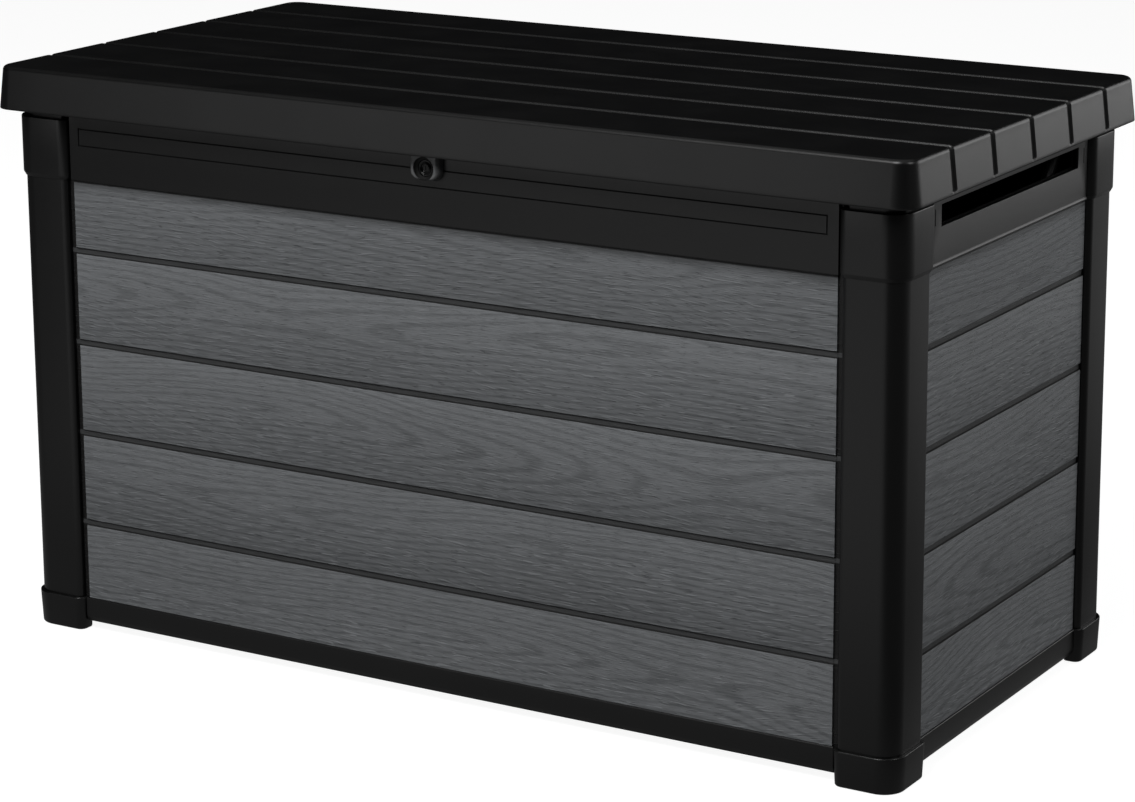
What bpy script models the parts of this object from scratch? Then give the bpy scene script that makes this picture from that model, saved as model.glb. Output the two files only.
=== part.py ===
"""Outdoor storage box of moulded resin: wood-look boards held between four corner columns,
black rails, collars and feet, a slatted lid on two hinges with two gas struts, and a turn lock.

Units are metres. X runs along the long side, -Y is the front, +Z is up, and the origin is on the
ground under the middle of the box. Two plan measures are used throughout: "across" is how far a
point lies inside the columns' outer faces, and "along" is how far it lies from the middle of a side.
"""

import math

import bmesh
import bpy
from mathutils import Matrix, Vector

# Overall sizes
BODY_LENGTH = 1.400
BODY_DEPTH = 0.684
LID_OVERHANG_ENDS = 0.025
LID_OVERHANG_FACES = 0.026
LID_BOTTOM = 0.770
LID_TOP = 0.8315

# Clearances
FIT_GAP = 0.0003
RUNNING_GAP = 0.0001
SIDE_PLAY = 0.0005

# Corner columns
COLUMN_WIDTH = 0.084
COLUMN_DEPTH = 0.086
COLUMN_THICKNESS = 0.0195
COLUMN_WALL = 0.003
COLUMN_CORNER_RADIUS = 0.028
COLUMN_EDGE_RADIUS = 0.009
COLUMN_INNER_RADIUS = 0.0015

# Collars on the columns' tops
COLLAR_PROUD = 0.0045
COLLAR_TOP = 0.7595
COLLAR_CHAMFER = 0.0055
COLLAR_LIP = 0.0012
COLLAR_TOP_ROUND = 0.0015
COLLAR_CAP = 0.003

# Feet
FOOT_HEIGHT = 0.050
FOOT_FLOOR = 0.012
FOOT_PROUD = 0.005
FOOT_TAPER = 0.0022
FOOT_BOTTOM_ROUND = 0.0035

# Rails
RAIL_INSET = 0.0055
RAIL_WALL = 0.0032
RAIL_BEVEL = 0.0015
RAIL_CAP = 0.004
TOP_RAIL_BOTTOM = 0.672
RIM_TOP = 0.785
BOTTOM_RAIL_BASE = 0.014
BOTTOM_RAIL_LIP = 0.0075
BOTTOM_RAIL_UNDERCUT = 0.0025
BOTTOM_RAIL_LEDGE = 0.040
BOTTOM_RAIL_FLOOR = 0.004

# Boards
PANEL_THICKNESS = 0.0055
PANEL_TONGUE = 0.010
PANEL_GRIP = 0.012
FIRST_GROOVE = 0.1641
BOARD_PITCH = 0.1349
BOARD_COUNT = 5
GROOVE_WIDTH = 0.0095
GROOVE_FLOOR = 0.0070
GROOVE_SINK = 0.0025

# Engraved lines on the top rails
LINE_WIDTH = 0.0022
LINE_SINK = 0.0018
FRONT_FRAME_MARGIN = 0.023
FRONT_FRAME_LOW = 0.723
FRONT_FRAME_HIGH = 0.747

# Hand-hold slots in the end rails
SLOT_MARGIN = 0.0375
SLOT_LOW = 0.722
SLOT_HIGH = 0.7505
SLOT_LINE_OFFSET = 0.0185
SLOT_LINE_LOW = 0.0035

# Floor
FLOOR_THICKNESS = 0.004
FLOOR_SIDE_GAP = 0.0008
FLOOR_RIB = 0.004
FLOOR_RIB_BOTTOM = 0.016
FLOOR_RIB_SETBACK = 0.030
FLOOR_RIBS_ALONG = 3
FLOOR_RIBS_ACROSS = 5

# Lid
LID_WALL = 0.004
LID_SKIN = 0.0045
LID_FLARE = 0.0062
LID_CORNER_RADIUS = 0.032
LID_EDGE_RADIUS = 0.007
LID_HEM = 0.0012
SLAT_COUNT = 6
SLAT_END_TRIM = 0.0016
SLAT_GAP = 0.0135
SLAT_GAP_FLOOR = 0.0095
SLAT_SINK = 0.003
SLAT_STOP = 0.0055

# Lid liner
LINER_ACROSS = 0.010
LINER_RIM = 0.004
LINER_PLATE_HEIGHT = 0.0147
LINER_PLATE = 0.0025
LINER_RIB = 0.003
LINER_RIBS_ALONG = 3
LINER_RIBS_ACROSS = 5

# Hinges
HINGE_PLACE_SHARE = 0.6
HINGE_HALF_WIDTH = 0.040
HINGE_KNUCKLE_HALF = 0.014
HINGE_KNUCKLE_RADIUS = 0.005
HINGE_PIN_RADIUS = 0.002
HINGE_PIN_HEAD = 0.003
HINGE_PIN_HEAD_HEIGHT = 0.0015
HINGE_PLATE = 0.0025
HINGE_STANDOFF = 0.015
HINGE_DROP = 0.008
HINGE_BODY_LEAF_HEIGHT = 0.040
HINGE_LID_LEAF_HEIGHT = 0.032
HINGE_SCREW_SPREAD = 0.026
LID_MAX_DEG = 95.0
PAD_MARGIN = 0.004
PAD_BOTTOM_GAP = 0.0015
PAD_INTO_WALL = 0.0005

# Screws
SCREW_HEAD_RADIUS = 0.0038
SCREW_HEAD_HEIGHT = 0.0018
SCREW_RADIUS = 0.0017
SCREW_REACH = 0.0060
SCREW_HOLE_RADIUS = 0.0021

# Gas struts
STRUT_ACROSS = 0.040
STRUT_FOOT_BACK = 0.2515
STRUT_FOOT_Z = 0.600
STRUT_LID_BACK = 0.100
STRUT_LID_UP = 0.022
STRUT_TUBE_RADIUS = 0.009
STRUT_TUBE_BORE = 0.007
STRUT_TUBE_LENGTH = 0.205
STRUT_TUBE_START = 0.008
STRUT_TUBE_WALL = 0.006
STRUT_END_WALL = 0.003
STRUT_ROD_RADIUS = 0.004
STRUT_ROD_TAIL = 0.195
STRUT_PISTON_RADIUS = 0.0066
STRUT_PISTON_LENGTH = 0.008
STRUT_EYE_RADIUS = 0.0085
STRUT_EYE_HALF = 0.006
STRUT_STUD_RADIUS = 0.004
STRUT_STUD_END = 0.0012
STRUT_HEAD_RADIUS = 0.007
STRUT_HEAD_HALF = 0.0045
BRACKET_PLATE = 0.003
BRACKET_LENGTH = 0.044
BRACKET_HEIGHT = 0.026
BRACKET_FLANGE = 0.014

# Lock
LOCK_HEIGHT = 0.750
LOCK_HALF_WIDTH = 0.0238
LOCK_BOTTOM = 0.7325
LOCK_TOP = 0.7795
LOCK_CORNER_RADIUS = 0.014
LOCK_PROUD = 0.013
LOCK_EDGE = 0.0012
DISH_RADIUS = 0.0162
DISH_DEPTH = 0.0055
BARREL_RADIUS = 0.0115
BARREL_RING_RADIUS = 0.0075
BARREL_RING_HEIGHT = 0.0022
BARREL_RECESS = 0.0022
BARREL_CORE_RADIUS = 0.0035
BARREL_BACK = 0.002
BARREL_SHANK_RADIUS = 0.006
CAM_THICKNESS = 0.003
CAM_REACH = 0.030
CAM_HALF_WIDTH = 0.0055
CAM_HUB_RADIUS = 0.010
CAM_SIDE_GAP = 0.001
NUT_RADIUS = 0.009
NUT_THICKNESS = 0.004
KEEPER_THICKNESS = 0.005
KEEPER_INSIDE = 0.034
KEEPER_LEG = 0.006
KEEPER_TOE_REACH = 0.020
KEEPER_TOE = 0.004
KEEPER_TOE_GAP = 0.0035
KEEPER_FLANGE = 0.016

# Roundness
CORNER_STEPS = 6
EDGE_STEPS = 3
TURNED_STEPS = 24
SMALL_TURNED_STEPS = 14

# Places that follow from the sizes above
HALF_LENGTH = BODY_LENGTH / 2
HALF_DEPTH = BODY_DEPTH / 2
LID_LENGTH = BODY_LENGTH + 2 * LID_OVERHANG_ENDS
LID_DEPTH = BODY_DEPTH + 2 * LID_OVERHANG_FACES
FRONT_FRAME_HALF = HALF_LENGTH - COLUMN_WIDTH - FRONT_FRAME_MARGIN
SLOT_HALF = HALF_DEPTH - COLUMN_DEPTH - SLOT_MARGIN
SLAT_PITCH = (LID_DEPTH - SLAT_END_TRIM) / SLAT_COUNT
HINGE_PLACE = HALF_LENGTH * HINGE_PLACE_SHARE
PANEL_INSET = RAIL_INSET + RAIL_WALL + FIT_GAP
PANEL_BACK = PANEL_INSET + PANEL_THICKNESS
RAIL_BACK = PANEL_BACK + FIT_GAP + RAIL_WALL
PANEL_TOP = TOP_RAIL_BOTTOM + PANEL_GRIP
PANEL_BOTTOM = BOTTOM_RAIL_BASE + BOTTOM_RAIL_FLOOR + FIT_GAP
COLLAR_UNDERSIDE = COLLAR_TOP - COLLAR_CAP
LID_WALL_HEIGHT = LID_TOP - LID_EDGE_RADIUS - LID_BOTTOM
LINER_TOP = LID_TOP - LID_SKIN - FIT_GAP
LINER_BASE = RIM_TOP + FIT_GAP
LINER_PLATE_BOTTOM = LINER_BASE + LINER_PLATE_HEIGHT
LINER_PLATE_TOP = LINER_PLATE_BOTTOM + LINER_PLATE
FRONT_RAIL_FACE_Y = -(HALF_DEPTH - RAIL_INSET)
FRONT_RAIL_BACK_Y = -(HALF_DEPTH - RAIL_BACK)
BACK_RAIL_FACE_Y = HALF_DEPTH - RAIL_INSET
HINGE_AXIS = Vector((0.0, BACK_RAIL_FACE_Y + HINGE_STANDOFF, LID_BOTTOM - HINGE_DROP))
STRUT_X = HALF_LENGTH - STRUT_ACROSS
STRUT_FOOT = Vector((0.0, HINGE_AXIS.y - STRUT_FOOT_BACK, STRUT_FOOT_Z))
STRUT_HEAD = HINGE_AXIS + Vector((0.0, -STRUT_LID_BACK, STRUT_LID_UP))
LOCK_AXIS = Vector((0.0, FRONT_RAIL_FACE_Y, LOCK_HEIGHT))

SIDES = ("front", "back", "left", "right")
CORNERS = {
    "front_left": (-1, -1),
    "front_right": (1, -1),
    "back_left": (-1, 1),
    "back_right": (1, 1),
}


# Scene and materials


def clear_scene():
    for item in list(bpy.data.objects):
        bpy.data.objects.remove(item, do_unlink=True)


def finish(name, colour, roughness, metallic=0.0):
    material = bpy.data.materials.new(name)
    material.use_nodes = True
    shader = material.node_tree.nodes["Principled BSDF"]
    shader.inputs["Base Color"].default_value = (*colour, 1.0)
    shader.inputs["Roughness"].default_value = roughness
    shader.inputs["Metallic"].default_value = metallic
    return material


def pivot(name, place):
    empty = bpy.data.objects.new(name, None)
    empty.location = place
    bpy.context.scene.collection.objects.link(empty)
    bpy.context.view_layer.update()
    return empty


def attach(piece, parent):
    piece.parent = parent
    piece.matrix_parent_inverse = parent.matrix_world.inverted()


# Outlines


def filleted(corners):
    """The closed outline through (x, y, radius, steps) corners, each a right angle rounded to its radius."""
    points = []
    count = len(corners)
    for index, (x, y, radius, steps) in enumerate(corners):
        corner = Vector((x, y))
        before = (Vector(corners[index - 1][:2]) - corner).normalized()
        after = (Vector(corners[(index + 1) % count][:2]) - corner).normalized()
        if steps == 0:
            points.append(corner)
            continue
        centre = corner + (before + after) * radius
        for step in range(steps + 1):
            turn = math.radians(90 * step / steps)
            points.append(centre - after * (radius * math.cos(turn)) - before * (radius * math.sin(turn)))
    return points


def column_outline(sign_x, sign_y, grow):
    """A corner column's L-shaped plan, grown outwards by grow, at the corner that the signs name."""
    wide = COLUMN_WIDTH + grow
    deep = COLUMN_DEPTH + grow
    thick = COLUMN_THICKNESS + grow
    inner = max(COLUMN_INNER_RADIUS + grow, COLUMN_INNER_RADIUS)
    across = [
        (-grow, -grow, COLUMN_CORNER_RADIUS + grow, CORNER_STEPS),
        (wide, -grow, COLUMN_EDGE_RADIUS + grow, EDGE_STEPS),
        (wide, thick, inner, 1),
        (thick, thick, COLUMN_INNER_RADIUS, 1),
        (thick, deep, inner, 1),
        (-grow, deep, COLUMN_EDGE_RADIUS + grow, EDGE_STEPS),
    ]
    return [
        Vector((sign_x * (HALF_LENGTH - point.x), sign_y * (HALF_DEPTH - point.y)))
        for point in filleted(across)
    ]


def lid_outline(shrink):
    """The lid's rounded rectangular plan, pulled in by shrink on every side."""
    x = LID_LENGTH / 2 - shrink
    y = LID_DEPTH / 2 - shrink
    radius = LID_CORNER_RADIUS - shrink
    return filleted([(sx, sy, radius, CORNER_STEPS) for sx, sy in ((-x, -y), (x, -y), (x, y), (-x, y))])


def circle(radius, steps):
    return [
        Vector((radius * math.cos(2 * math.pi * step / steps), radius * math.sin(2 * math.pi * step / steps)))
        for step in range(steps)
    ]


# Solids


def solid(name, rings, material, looped=False):
    """Joins rings of equal point counts into one closed skin, capped at both ends unless it is looped."""
    shape = bmesh.new()
    loops = [[shape.verts.new(point) for point in ring] for ring in rings]
    pairs = list(zip(loops, loops[1:]))
    if looped:
        pairs.append((loops[-1], loops[0]))
    else:
        shape.faces.new(loops[0])
        shape.faces.new(loops[-1])
    for low, high in pairs:
        for index in range(len(low)):
            following = (index + 1) % len(low)
            shape.faces.new((low[index], low[following], high[following], high[index]))
    bmesh.ops.recalc_face_normals(shape, faces=shape.faces)
    mesh = bpy.data.meshes.new(name)
    shape.to_mesh(mesh)
    shape.free()
    mesh.shade_smooth()
    mesh.set_sharp_from_angle(angle=math.radians(35))
    piece = bpy.data.objects.new(name, mesh)
    bpy.context.scene.collection.objects.link(piece)
    piece.data.materials.append(material)
    return piece


def stacked(name, levels, material, looped=False):
    """A solid from (plan outline, height) levels."""
    rings = [[Vector((point.x, point.y, height)) for point in outline] for outline, height in levels]
    return solid(name, rings, material, looped)


def turned(name, stations, place, direction, material, steps=TURNED_STEPS):
    """A round piece from (distance along its axis, radius) stations, standing at place along direction."""
    rings = []
    for distance, radius in stations:
        rings.append([Vector((point.x, point.y, distance)) for point in circle(radius, steps)])
    piece = solid(name, rings, material)
    piece.location = place
    piece.rotation_mode = "QUATERNION"
    piece.rotation_quaternion = Vector(direction).to_track_quat("Z", "Y")
    return piece


def block(name, low, high, material):
    """A box between two corners."""
    outline = [
        Vector((low[0], low[1])),
        Vector((high[0], low[1])),
        Vector((high[0], high[1])),
        Vector((low[0], high[1])),
    ]
    return stacked(name, [(outline, low[2]), (outline, high[2])], material)


def side_point(side, along, across, height):
    """A point on a side of the box."""
    if side == "front":
        return Vector((along, -(HALF_DEPTH - across), height))
    if side == "back":
        return Vector((along, HALF_DEPTH - across, height))
    if side == "left":
        return Vector((-(HALF_LENGTH - across), along, height))
    return Vector((HALF_LENGTH - across, along, height))


def side_run(name, side, profile, reach, material):
    """A solid of (across, height) section that runs reach each way from the middle of a side."""
    rings = [
        [side_point(side, along, across, height) for across, height in profile]
        for along in (-reach, reach)
    ]
    return solid(name, rings, material)


def combine(piece, tool, operation):
    change = piece.modifiers.new(operation.lower(), "BOOLEAN")
    change.operation = operation
    change.solver = "EXACT"
    change.object = tool
    tool.hide_render = True
    tool.display_type = "WIRE"


def half_span(side):
    """Half the clear length between the two columns of a side."""
    if side in ("front", "back"):
        return HALF_LENGTH - COLUMN_WIDTH
    return HALF_DEPTH - COLUMN_DEPTH


# Body


def panel_profile():
    """Boards one above another on a backing, with a flat-bottomed groove between neighbours."""
    profile = [(PANEL_BACK, PANEL_TOP), (PANEL_BACK, PANEL_BOTTOM), (PANEL_INSET, PANEL_BOTTOM)]
    for index in range(BOARD_COUNT - 1):
        middle = FIRST_GROOVE + index * BOARD_PITCH
        profile += [
            (PANEL_INSET, middle - GROOVE_WIDTH / 2),
            (PANEL_INSET + GROOVE_SINK, middle - GROOVE_FLOOR / 2),
            (PANEL_INSET + GROOVE_SINK, middle + GROOVE_FLOOR / 2),
            (PANEL_INSET, middle + GROOVE_WIDTH / 2),
        ]
    profile.append((PANEL_INSET, PANEL_TOP))
    return profile


def make_panels(board_grey):
    for side in SIDES:
        side_run(f"{side}_panel", side, panel_profile(), half_span(side) + PANEL_TONGUE, board_grey)


def panel_slots(black):
    """Tools that cut each panel's end slots in the columns, collars and feet around them."""
    tools = {}
    section = [
        (PANEL_INSET - FIT_GAP, PANEL_BOTTOM - FIT_GAP),
        (PANEL_BACK + FIT_GAP, PANEL_BOTTOM - FIT_GAP),
        (PANEL_BACK + FIT_GAP, PANEL_TOP + FIT_GAP),
        (PANEL_INSET - FIT_GAP, PANEL_TOP + FIT_GAP),
    ]
    for side in SIDES:
        reach = half_span(side) + PANEL_TONGUE + SIDE_PLAY
        tools[side] = side_run(f"slot_tool_{side}", side, section, reach, black)
    return tools


def make_corners(black, tools):
    for corner, (sign_x, sign_y) in CORNERS.items():
        outer = column_outline(sign_x, sign_y, 0)
        hollow = column_outline(sign_x, sign_y, -COLUMN_WALL)
        socket = column_outline(sign_x, sign_y, FIT_GAP)
        low = FOOT_FLOOR + FIT_GAP
        high = COLLAR_UNDERSIDE - FIT_GAP
        column = stacked(
            f"column_{corner}",
            [(outer, low), (outer, high), (hollow, high), (hollow, low)],
            black,
            looped=True,
        )
        collar_levels = [
            (socket, COLLAR_UNDERSIDE),
            (socket, TOP_RAIL_BOTTOM),
            (column_outline(sign_x, sign_y, COLLAR_LIP), TOP_RAIL_BOTTOM),
            (column_outline(sign_x, sign_y, COLLAR_PROUD), TOP_RAIL_BOTTOM + COLLAR_CHAMFER),
            (column_outline(sign_x, sign_y, COLLAR_PROUD), COLLAR_TOP - COLLAR_TOP_ROUND),
            (column_outline(sign_x, sign_y, COLLAR_PROUD - COLLAR_TOP_ROUND), COLLAR_TOP),
            (column_outline(sign_x, sign_y, -RAIL_INSET), COLLAR_TOP),
            (column_outline(sign_x, sign_y, -RAIL_INSET), RIM_TOP - RAIL_BEVEL),
            (column_outline(sign_x, sign_y, -RAIL_INSET - RAIL_BEVEL), RIM_TOP),
        ]
        collar = stacked(f"collar_{corner}", collar_levels, black)
        foot_levels = [
            (socket, FOOT_FLOOR),
            (socket, FOOT_HEIGHT),
            (column_outline(sign_x, sign_y, FOOT_PROUD - COLLAR_TOP_ROUND), FOOT_HEIGHT),
            (column_outline(sign_x, sign_y, FOOT_PROUD), FOOT_HEIGHT - COLLAR_TOP_ROUND),
            (column_outline(sign_x, sign_y, FOOT_PROUD - FOOT_TAPER), FOOT_BOTTOM_ROUND),
            (column_outline(sign_x, sign_y, FOOT_PROUD - FOOT_TAPER - FOOT_BOTTOM_ROUND), 0.0),
        ]
        foot = stacked(f"foot_{corner}", foot_levels, black)
        for piece in (column, collar, foot):
            for side in corner.split("_"):
                combine(piece, tools[side], "DIFFERENCE")


def top_rail_profile():
    """An upside-down channel that grips the panel's top edge."""
    inner = RAIL_INSET + RAIL_WALL
    back = RAIL_BACK - RAIL_WALL
    return [
        (RAIL_INSET + RAIL_BEVEL, TOP_RAIL_BOTTOM),
        (RAIL_INSET, TOP_RAIL_BOTTOM + RAIL_BEVEL),
        (RAIL_INSET, RIM_TOP - RAIL_BEVEL),
        (RAIL_INSET + RAIL_BEVEL, RIM_TOP),
        (RAIL_BACK - RAIL_BEVEL, RIM_TOP),
        (RAIL_BACK, RIM_TOP - RAIL_BEVEL),
        (RAIL_BACK, TOP_RAIL_BOTTOM),
        (back, TOP_RAIL_BOTTOM),
        (back, RIM_TOP - RAIL_CAP),
        (inner, RIM_TOP - RAIL_CAP),
        (inner, TOP_RAIL_BOTTOM),
    ]


def bottom_rail_profile():
    """A channel that holds the panel's bottom edge and carries the floor on its inner wall."""
    inner = RAIL_INSET + RAIL_WALL
    back = RAIL_BACK - RAIL_WALL
    channel = BOTTOM_RAIL_BASE + BOTTOM_RAIL_FLOOR
    return [
        (RAIL_INSET + BOTTOM_RAIL_UNDERCUT, BOTTOM_RAIL_BASE),
        (RAIL_INSET, BOTTOM_RAIL_BASE + BOTTOM_RAIL_LIP),
        (RAIL_INSET, FOOT_HEIGHT - RAIL_BEVEL),
        (RAIL_INSET + RAIL_BEVEL, FOOT_HEIGHT),
        (inner, FOOT_HEIGHT),
        (inner, channel),
        (back, channel),
        (back, BOTTOM_RAIL_LEDGE),
        (RAIL_BACK, BOTTOM_RAIL_LEDGE),
        (RAIL_BACK, BOTTOM_RAIL_BASE),
    ]


def side_box(name, side, along, across, height, material):
    """A block from (low, high) spans along a side, across it and in height."""
    profile = [(across[0], height[0]), (across[1], height[0]), (across[1], height[1]), (across[0], height[1])]
    rings = [[side_point(side, place, inward, up) for inward, up in profile] for place in along]
    return solid(name, rings, material)


def engrave_front_frame(rail, black):
    """A thin closed line round a long rectangle on the front rail's face. The lock hides part of its top."""
    shallow = RAIL_INSET - LINE_WIDTH
    deep = RAIL_INSET + LINE_SINK
    half = LINE_WIDTH / 2

    def loop(grow, across):
        reach = FRONT_FRAME_HALF + grow
        corners = [
            (-reach, FRONT_FRAME_LOW - grow),
            (reach, FRONT_FRAME_LOW - grow),
            (reach, FRONT_FRAME_HIGH + grow),
            (-reach, FRONT_FRAME_HIGH + grow),
        ]
        return [side_point("front", along, across, height) for along, height in corners]

    rings = [loop(-half, shallow), loop(half, shallow), loop(half, deep), loop(-half, deep)]
    combine(rail, solid("frame_tool", rings, black, looped=True), "DIFFERENCE")


def make_rails(black):
    rails = {}
    for side in SIDES:
        top_reach = half_span(side) - COLLAR_PROUD - FIT_GAP
        bottom_reach = half_span(side) - FOOT_PROUD - FIT_GAP
        rails[side] = side_run(f"top_rail_{side}", side, top_rail_profile(), top_reach, black)
        side_run(f"bottom_rail_{side}", side, bottom_rail_profile(), bottom_reach, black)
    engrave_front_frame(rails["front"], black)
    through = (RAIL_INSET - RAIL_WALL, RAIL_BACK + RAIL_WALL)
    engraved = (RAIL_INSET - LINE_WIDTH, RAIL_INSET + LINE_SINK)
    slot_span = (-SLOT_HALF, SLOT_HALF)
    slot_height = (SLOT_LOW, SLOT_HIGH)
    for side in ("left", "right"):
        slot = side_box(f"hand_slot_tool_{side}", side, slot_span, through, slot_height, black)
        combine(rails[side], slot, "DIFFERENCE")
        for end in (-1, 1):
            middle = end * (SLOT_HALF + SLOT_LINE_OFFSET)
            line = side_box(
                f"slot_line_tool_{side}_{end}",
                side,
                (middle - LINE_WIDTH / 2, middle + LINE_WIDTH / 2),
                engraved,
                (SLOT_LOW + SLOT_LINE_LOW, FRONT_FRAME_HIGH),
                black,
            )
            combine(rails[side], line, "DIFFERENCE")
    return rails


def make_floor(black):
    """A plate that rests on the bottom rails' inner walls, notched round the feet, with ribs below."""
    edge = PANEL_BACK + FLOOR_SIDE_GAP
    clear = FOOT_PROUD + FLOOR_SIDE_GAP
    notch = [
        (COLUMN_WIDTH + clear, edge),
        (COLUMN_WIDTH + clear, COLUMN_THICKNESS + clear),
        (COLUMN_THICKNESS + clear, COLUMN_THICKNESS + clear),
        (COLUMN_THICKNESS + clear, COLUMN_DEPTH + clear),
        (edge, COLUMN_DEPTH + clear),
    ]
    outline = []
    for sign_x, sign_y in ((-1, -1), (1, -1), (1, 1), (-1, 1)):
        for inward_x, inward_y in notch[:: -sign_x * sign_y]:
            outline.append(Vector((sign_x * (HALF_LENGTH - inward_x), sign_y * (HALF_DEPTH - inward_y))))
    low = BOTTOM_RAIL_LEDGE + FIT_GAP
    plate = stacked("floor_panel", [(outline, low), (outline, low + FLOOR_THICKNESS)], black)
    half_x = HALF_LENGTH - COLUMN_THICKNESS - FLOOR_RIB_SETBACK
    half_y = HALF_DEPTH - COLUMN_THICKNESS - FLOOR_RIB_SETBACK
    add_ribs(
        plate,
        half_x,
        half_y,
        FLOOR_RIBS_ALONG,
        FLOOR_RIBS_ACROSS,
        FLOOR_RIB,
        FLOOR_RIB_BOTTOM,
        low + FIT_GAP,
        black,
    )
    return plate


def add_ribs(plate, half_x, half_y, along_count, across_count, width, low, high, material):
    """Evenly spaced ribs both ways, grown onto a plate."""
    for index in range(along_count):
        middle = half_y * (2 * (index + 1) / (along_count + 1) - 1)
        rib = block(
            f"{plate.name}_long_rib_{index}",
            (-half_x, middle - width / 2, low),
            (half_x, middle + width / 2, high),
            material,
        )
        combine(plate, rib, "UNION")
    for index in range(across_count):
        middle = half_x * (2 * (index + 1) / (across_count + 1) - 1)
        rib = block(
            f"{plate.name}_short_rib_{index}",
            (middle - width / 2, -half_y - width, low),
            (middle + width / 2, half_y + width, high),
            material,
        )
        combine(plate, rib, "UNION")


# Lid


def lid_side_profile(sink):
    """The lid's outer (x, z) section from its right hem over the top to its left hem, sunk by sink."""
    half = LID_LENGTH / 2
    hem = LID_BOTTOM + SLAT_STOP
    flare_at_hem = LID_FLARE * (hem - LID_BOTTOM) / LID_WALL_HEIGHT
    centre_x = half - LID_FLARE - LID_EDGE_RADIUS
    centre_z = LID_TOP - LID_EDGE_RADIUS
    right = [(half - flare_at_hem - sink, hem)]
    for step in range(EDGE_STEPS + 2):
        turn = math.radians(90 * step / (EDGE_STEPS + 1))
        radius = LID_EDGE_RADIUS - sink
        right.append((centre_x + radius * math.cos(turn), centre_z + radius * math.sin(turn)))
    return right + [(-x, z) for x, z in reversed(right)]


def cut_slat_gaps(shell, black):
    """Shallow gaps with sloping sides between the slats, across the top and down both ends."""
    outside_x = LID_LENGTH / 2 + LID_WALL
    outside_z = LID_TOP + LID_WALL
    skim = FIT_GAP
    slope = (SLAT_GAP - SLAT_GAP_FLOOR) / 2
    rise = skim * slope / SLAT_SINK
    for index in range(SLAT_COUNT - 1):
        middle = (index - (SLAT_COUNT - 2) / 2) * SLAT_PITCH
        rings = []
        for offset, sink in (
            (-SLAT_GAP / 2 - rise, -skim),
            (-SLAT_GAP_FLOOR / 2, SLAT_SINK),
            (SLAT_GAP_FLOOR / 2, SLAT_SINK),
            (SLAT_GAP / 2 + rise, -skim),
        ):
            section = lid_side_profile(sink)
            hem = section[0][1]
            section += [(-outside_x, hem), (-outside_x, outside_z), (outside_x, outside_z), (outside_x, hem)]
            rings.append([Vector((x, middle + offset, z)) for x, z in section])
        combine(shell, solid(f"slat_gap_tool_{index}", rings, black), "DIFFERENCE")


def make_lid_shell(black):
    wall_top = LID_TOP - LID_EDGE_RADIUS
    levels = [
        (lid_outline(LID_FLARE + LID_WALL), LID_TOP - LID_SKIN),
        (lid_outline(LID_WALL), LID_BOTTOM),
        (lid_outline(LID_HEM), LID_BOTTOM),
        (lid_outline(0), LID_BOTTOM + LID_HEM),
        (lid_outline(LID_FLARE), wall_top),
    ]
    for step in range(1, EDGE_STEPS + 2):
        turn = math.radians(90 * step / (EDGE_STEPS + 1))
        pull = LID_FLARE + LID_EDGE_RADIUS * (1 - math.cos(turn))
        levels.append((lid_outline(pull), wall_top + LID_EDGE_RADIUS * math.sin(turn)))
    shell = stacked("lid_shell", levels, black)
    cut_slat_gaps(shell, black)
    return shell


def make_lid_liner(black):
    """A stiffening tray under the lid's top, whose rim rests on the rails."""
    half_x = HALF_LENGTH - LINER_ACROSS
    half_y = HALF_DEPTH - LINER_ACROSS

    def outline(shrink):
        x = half_x - shrink
        y = half_y - shrink
        return [Vector((-x, -y)), Vector((x, -y)), Vector((x, y)), Vector((-x, y))]

    levels = [
        (outline(LINER_RIM), LINER_PLATE_BOTTOM),
        (outline(LINER_RIM), LINER_BASE),
        (outline(0), LINER_BASE),
        (outline(0), LINER_PLATE_TOP),
    ]
    liner = stacked("lid_liner", levels, black)
    add_ribs(
        liner,
        half_x - LINER_RIM * 2,
        half_y - LINER_RIM * 2,
        LINER_RIBS_ALONG,
        LINER_RIBS_ACROSS,
        LINER_RIB,
        LINER_PLATE_TOP - FIT_GAP,
        LINER_TOP,
        black,
    )
    return liner


# Fasteners and hinges


def make_screw(name, place, direction, steel):
    """A pan-head screw whose head's underside is at place, and whose shank points along direction."""
    stations = [
        (-SCREW_HEAD_HEIGHT, SCREW_HEAD_RADIUS * 0.62),
        (-SCREW_HEAD_HEIGHT * 0.55, SCREW_HEAD_RADIUS * 0.94),
        (0.0, SCREW_HEAD_RADIUS),
        (0.0, SCREW_RADIUS),
        (SCREW_REACH, SCREW_RADIUS),
    ]
    return turned(name, stations, place, direction, steel, SMALL_TURNED_STEPS)


def drill(piece, name, place, direction, reach, radius, material, steps=SMALL_TURNED_STEPS):
    """Cuts a round hole that runs reach each way from place."""
    stations = [(-reach, radius), (reach, radius)]
    combine(piece, turned(name, stations, place, direction, material, steps), "DIFFERENCE")


def bored_bar(name, place, half_length, radius, material):
    """A round bar along X, for hinge knuckles and eyes."""
    return turned(name, [(-half_length, radius), (half_length, radius)], place, (1, 0, 0), material)


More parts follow.
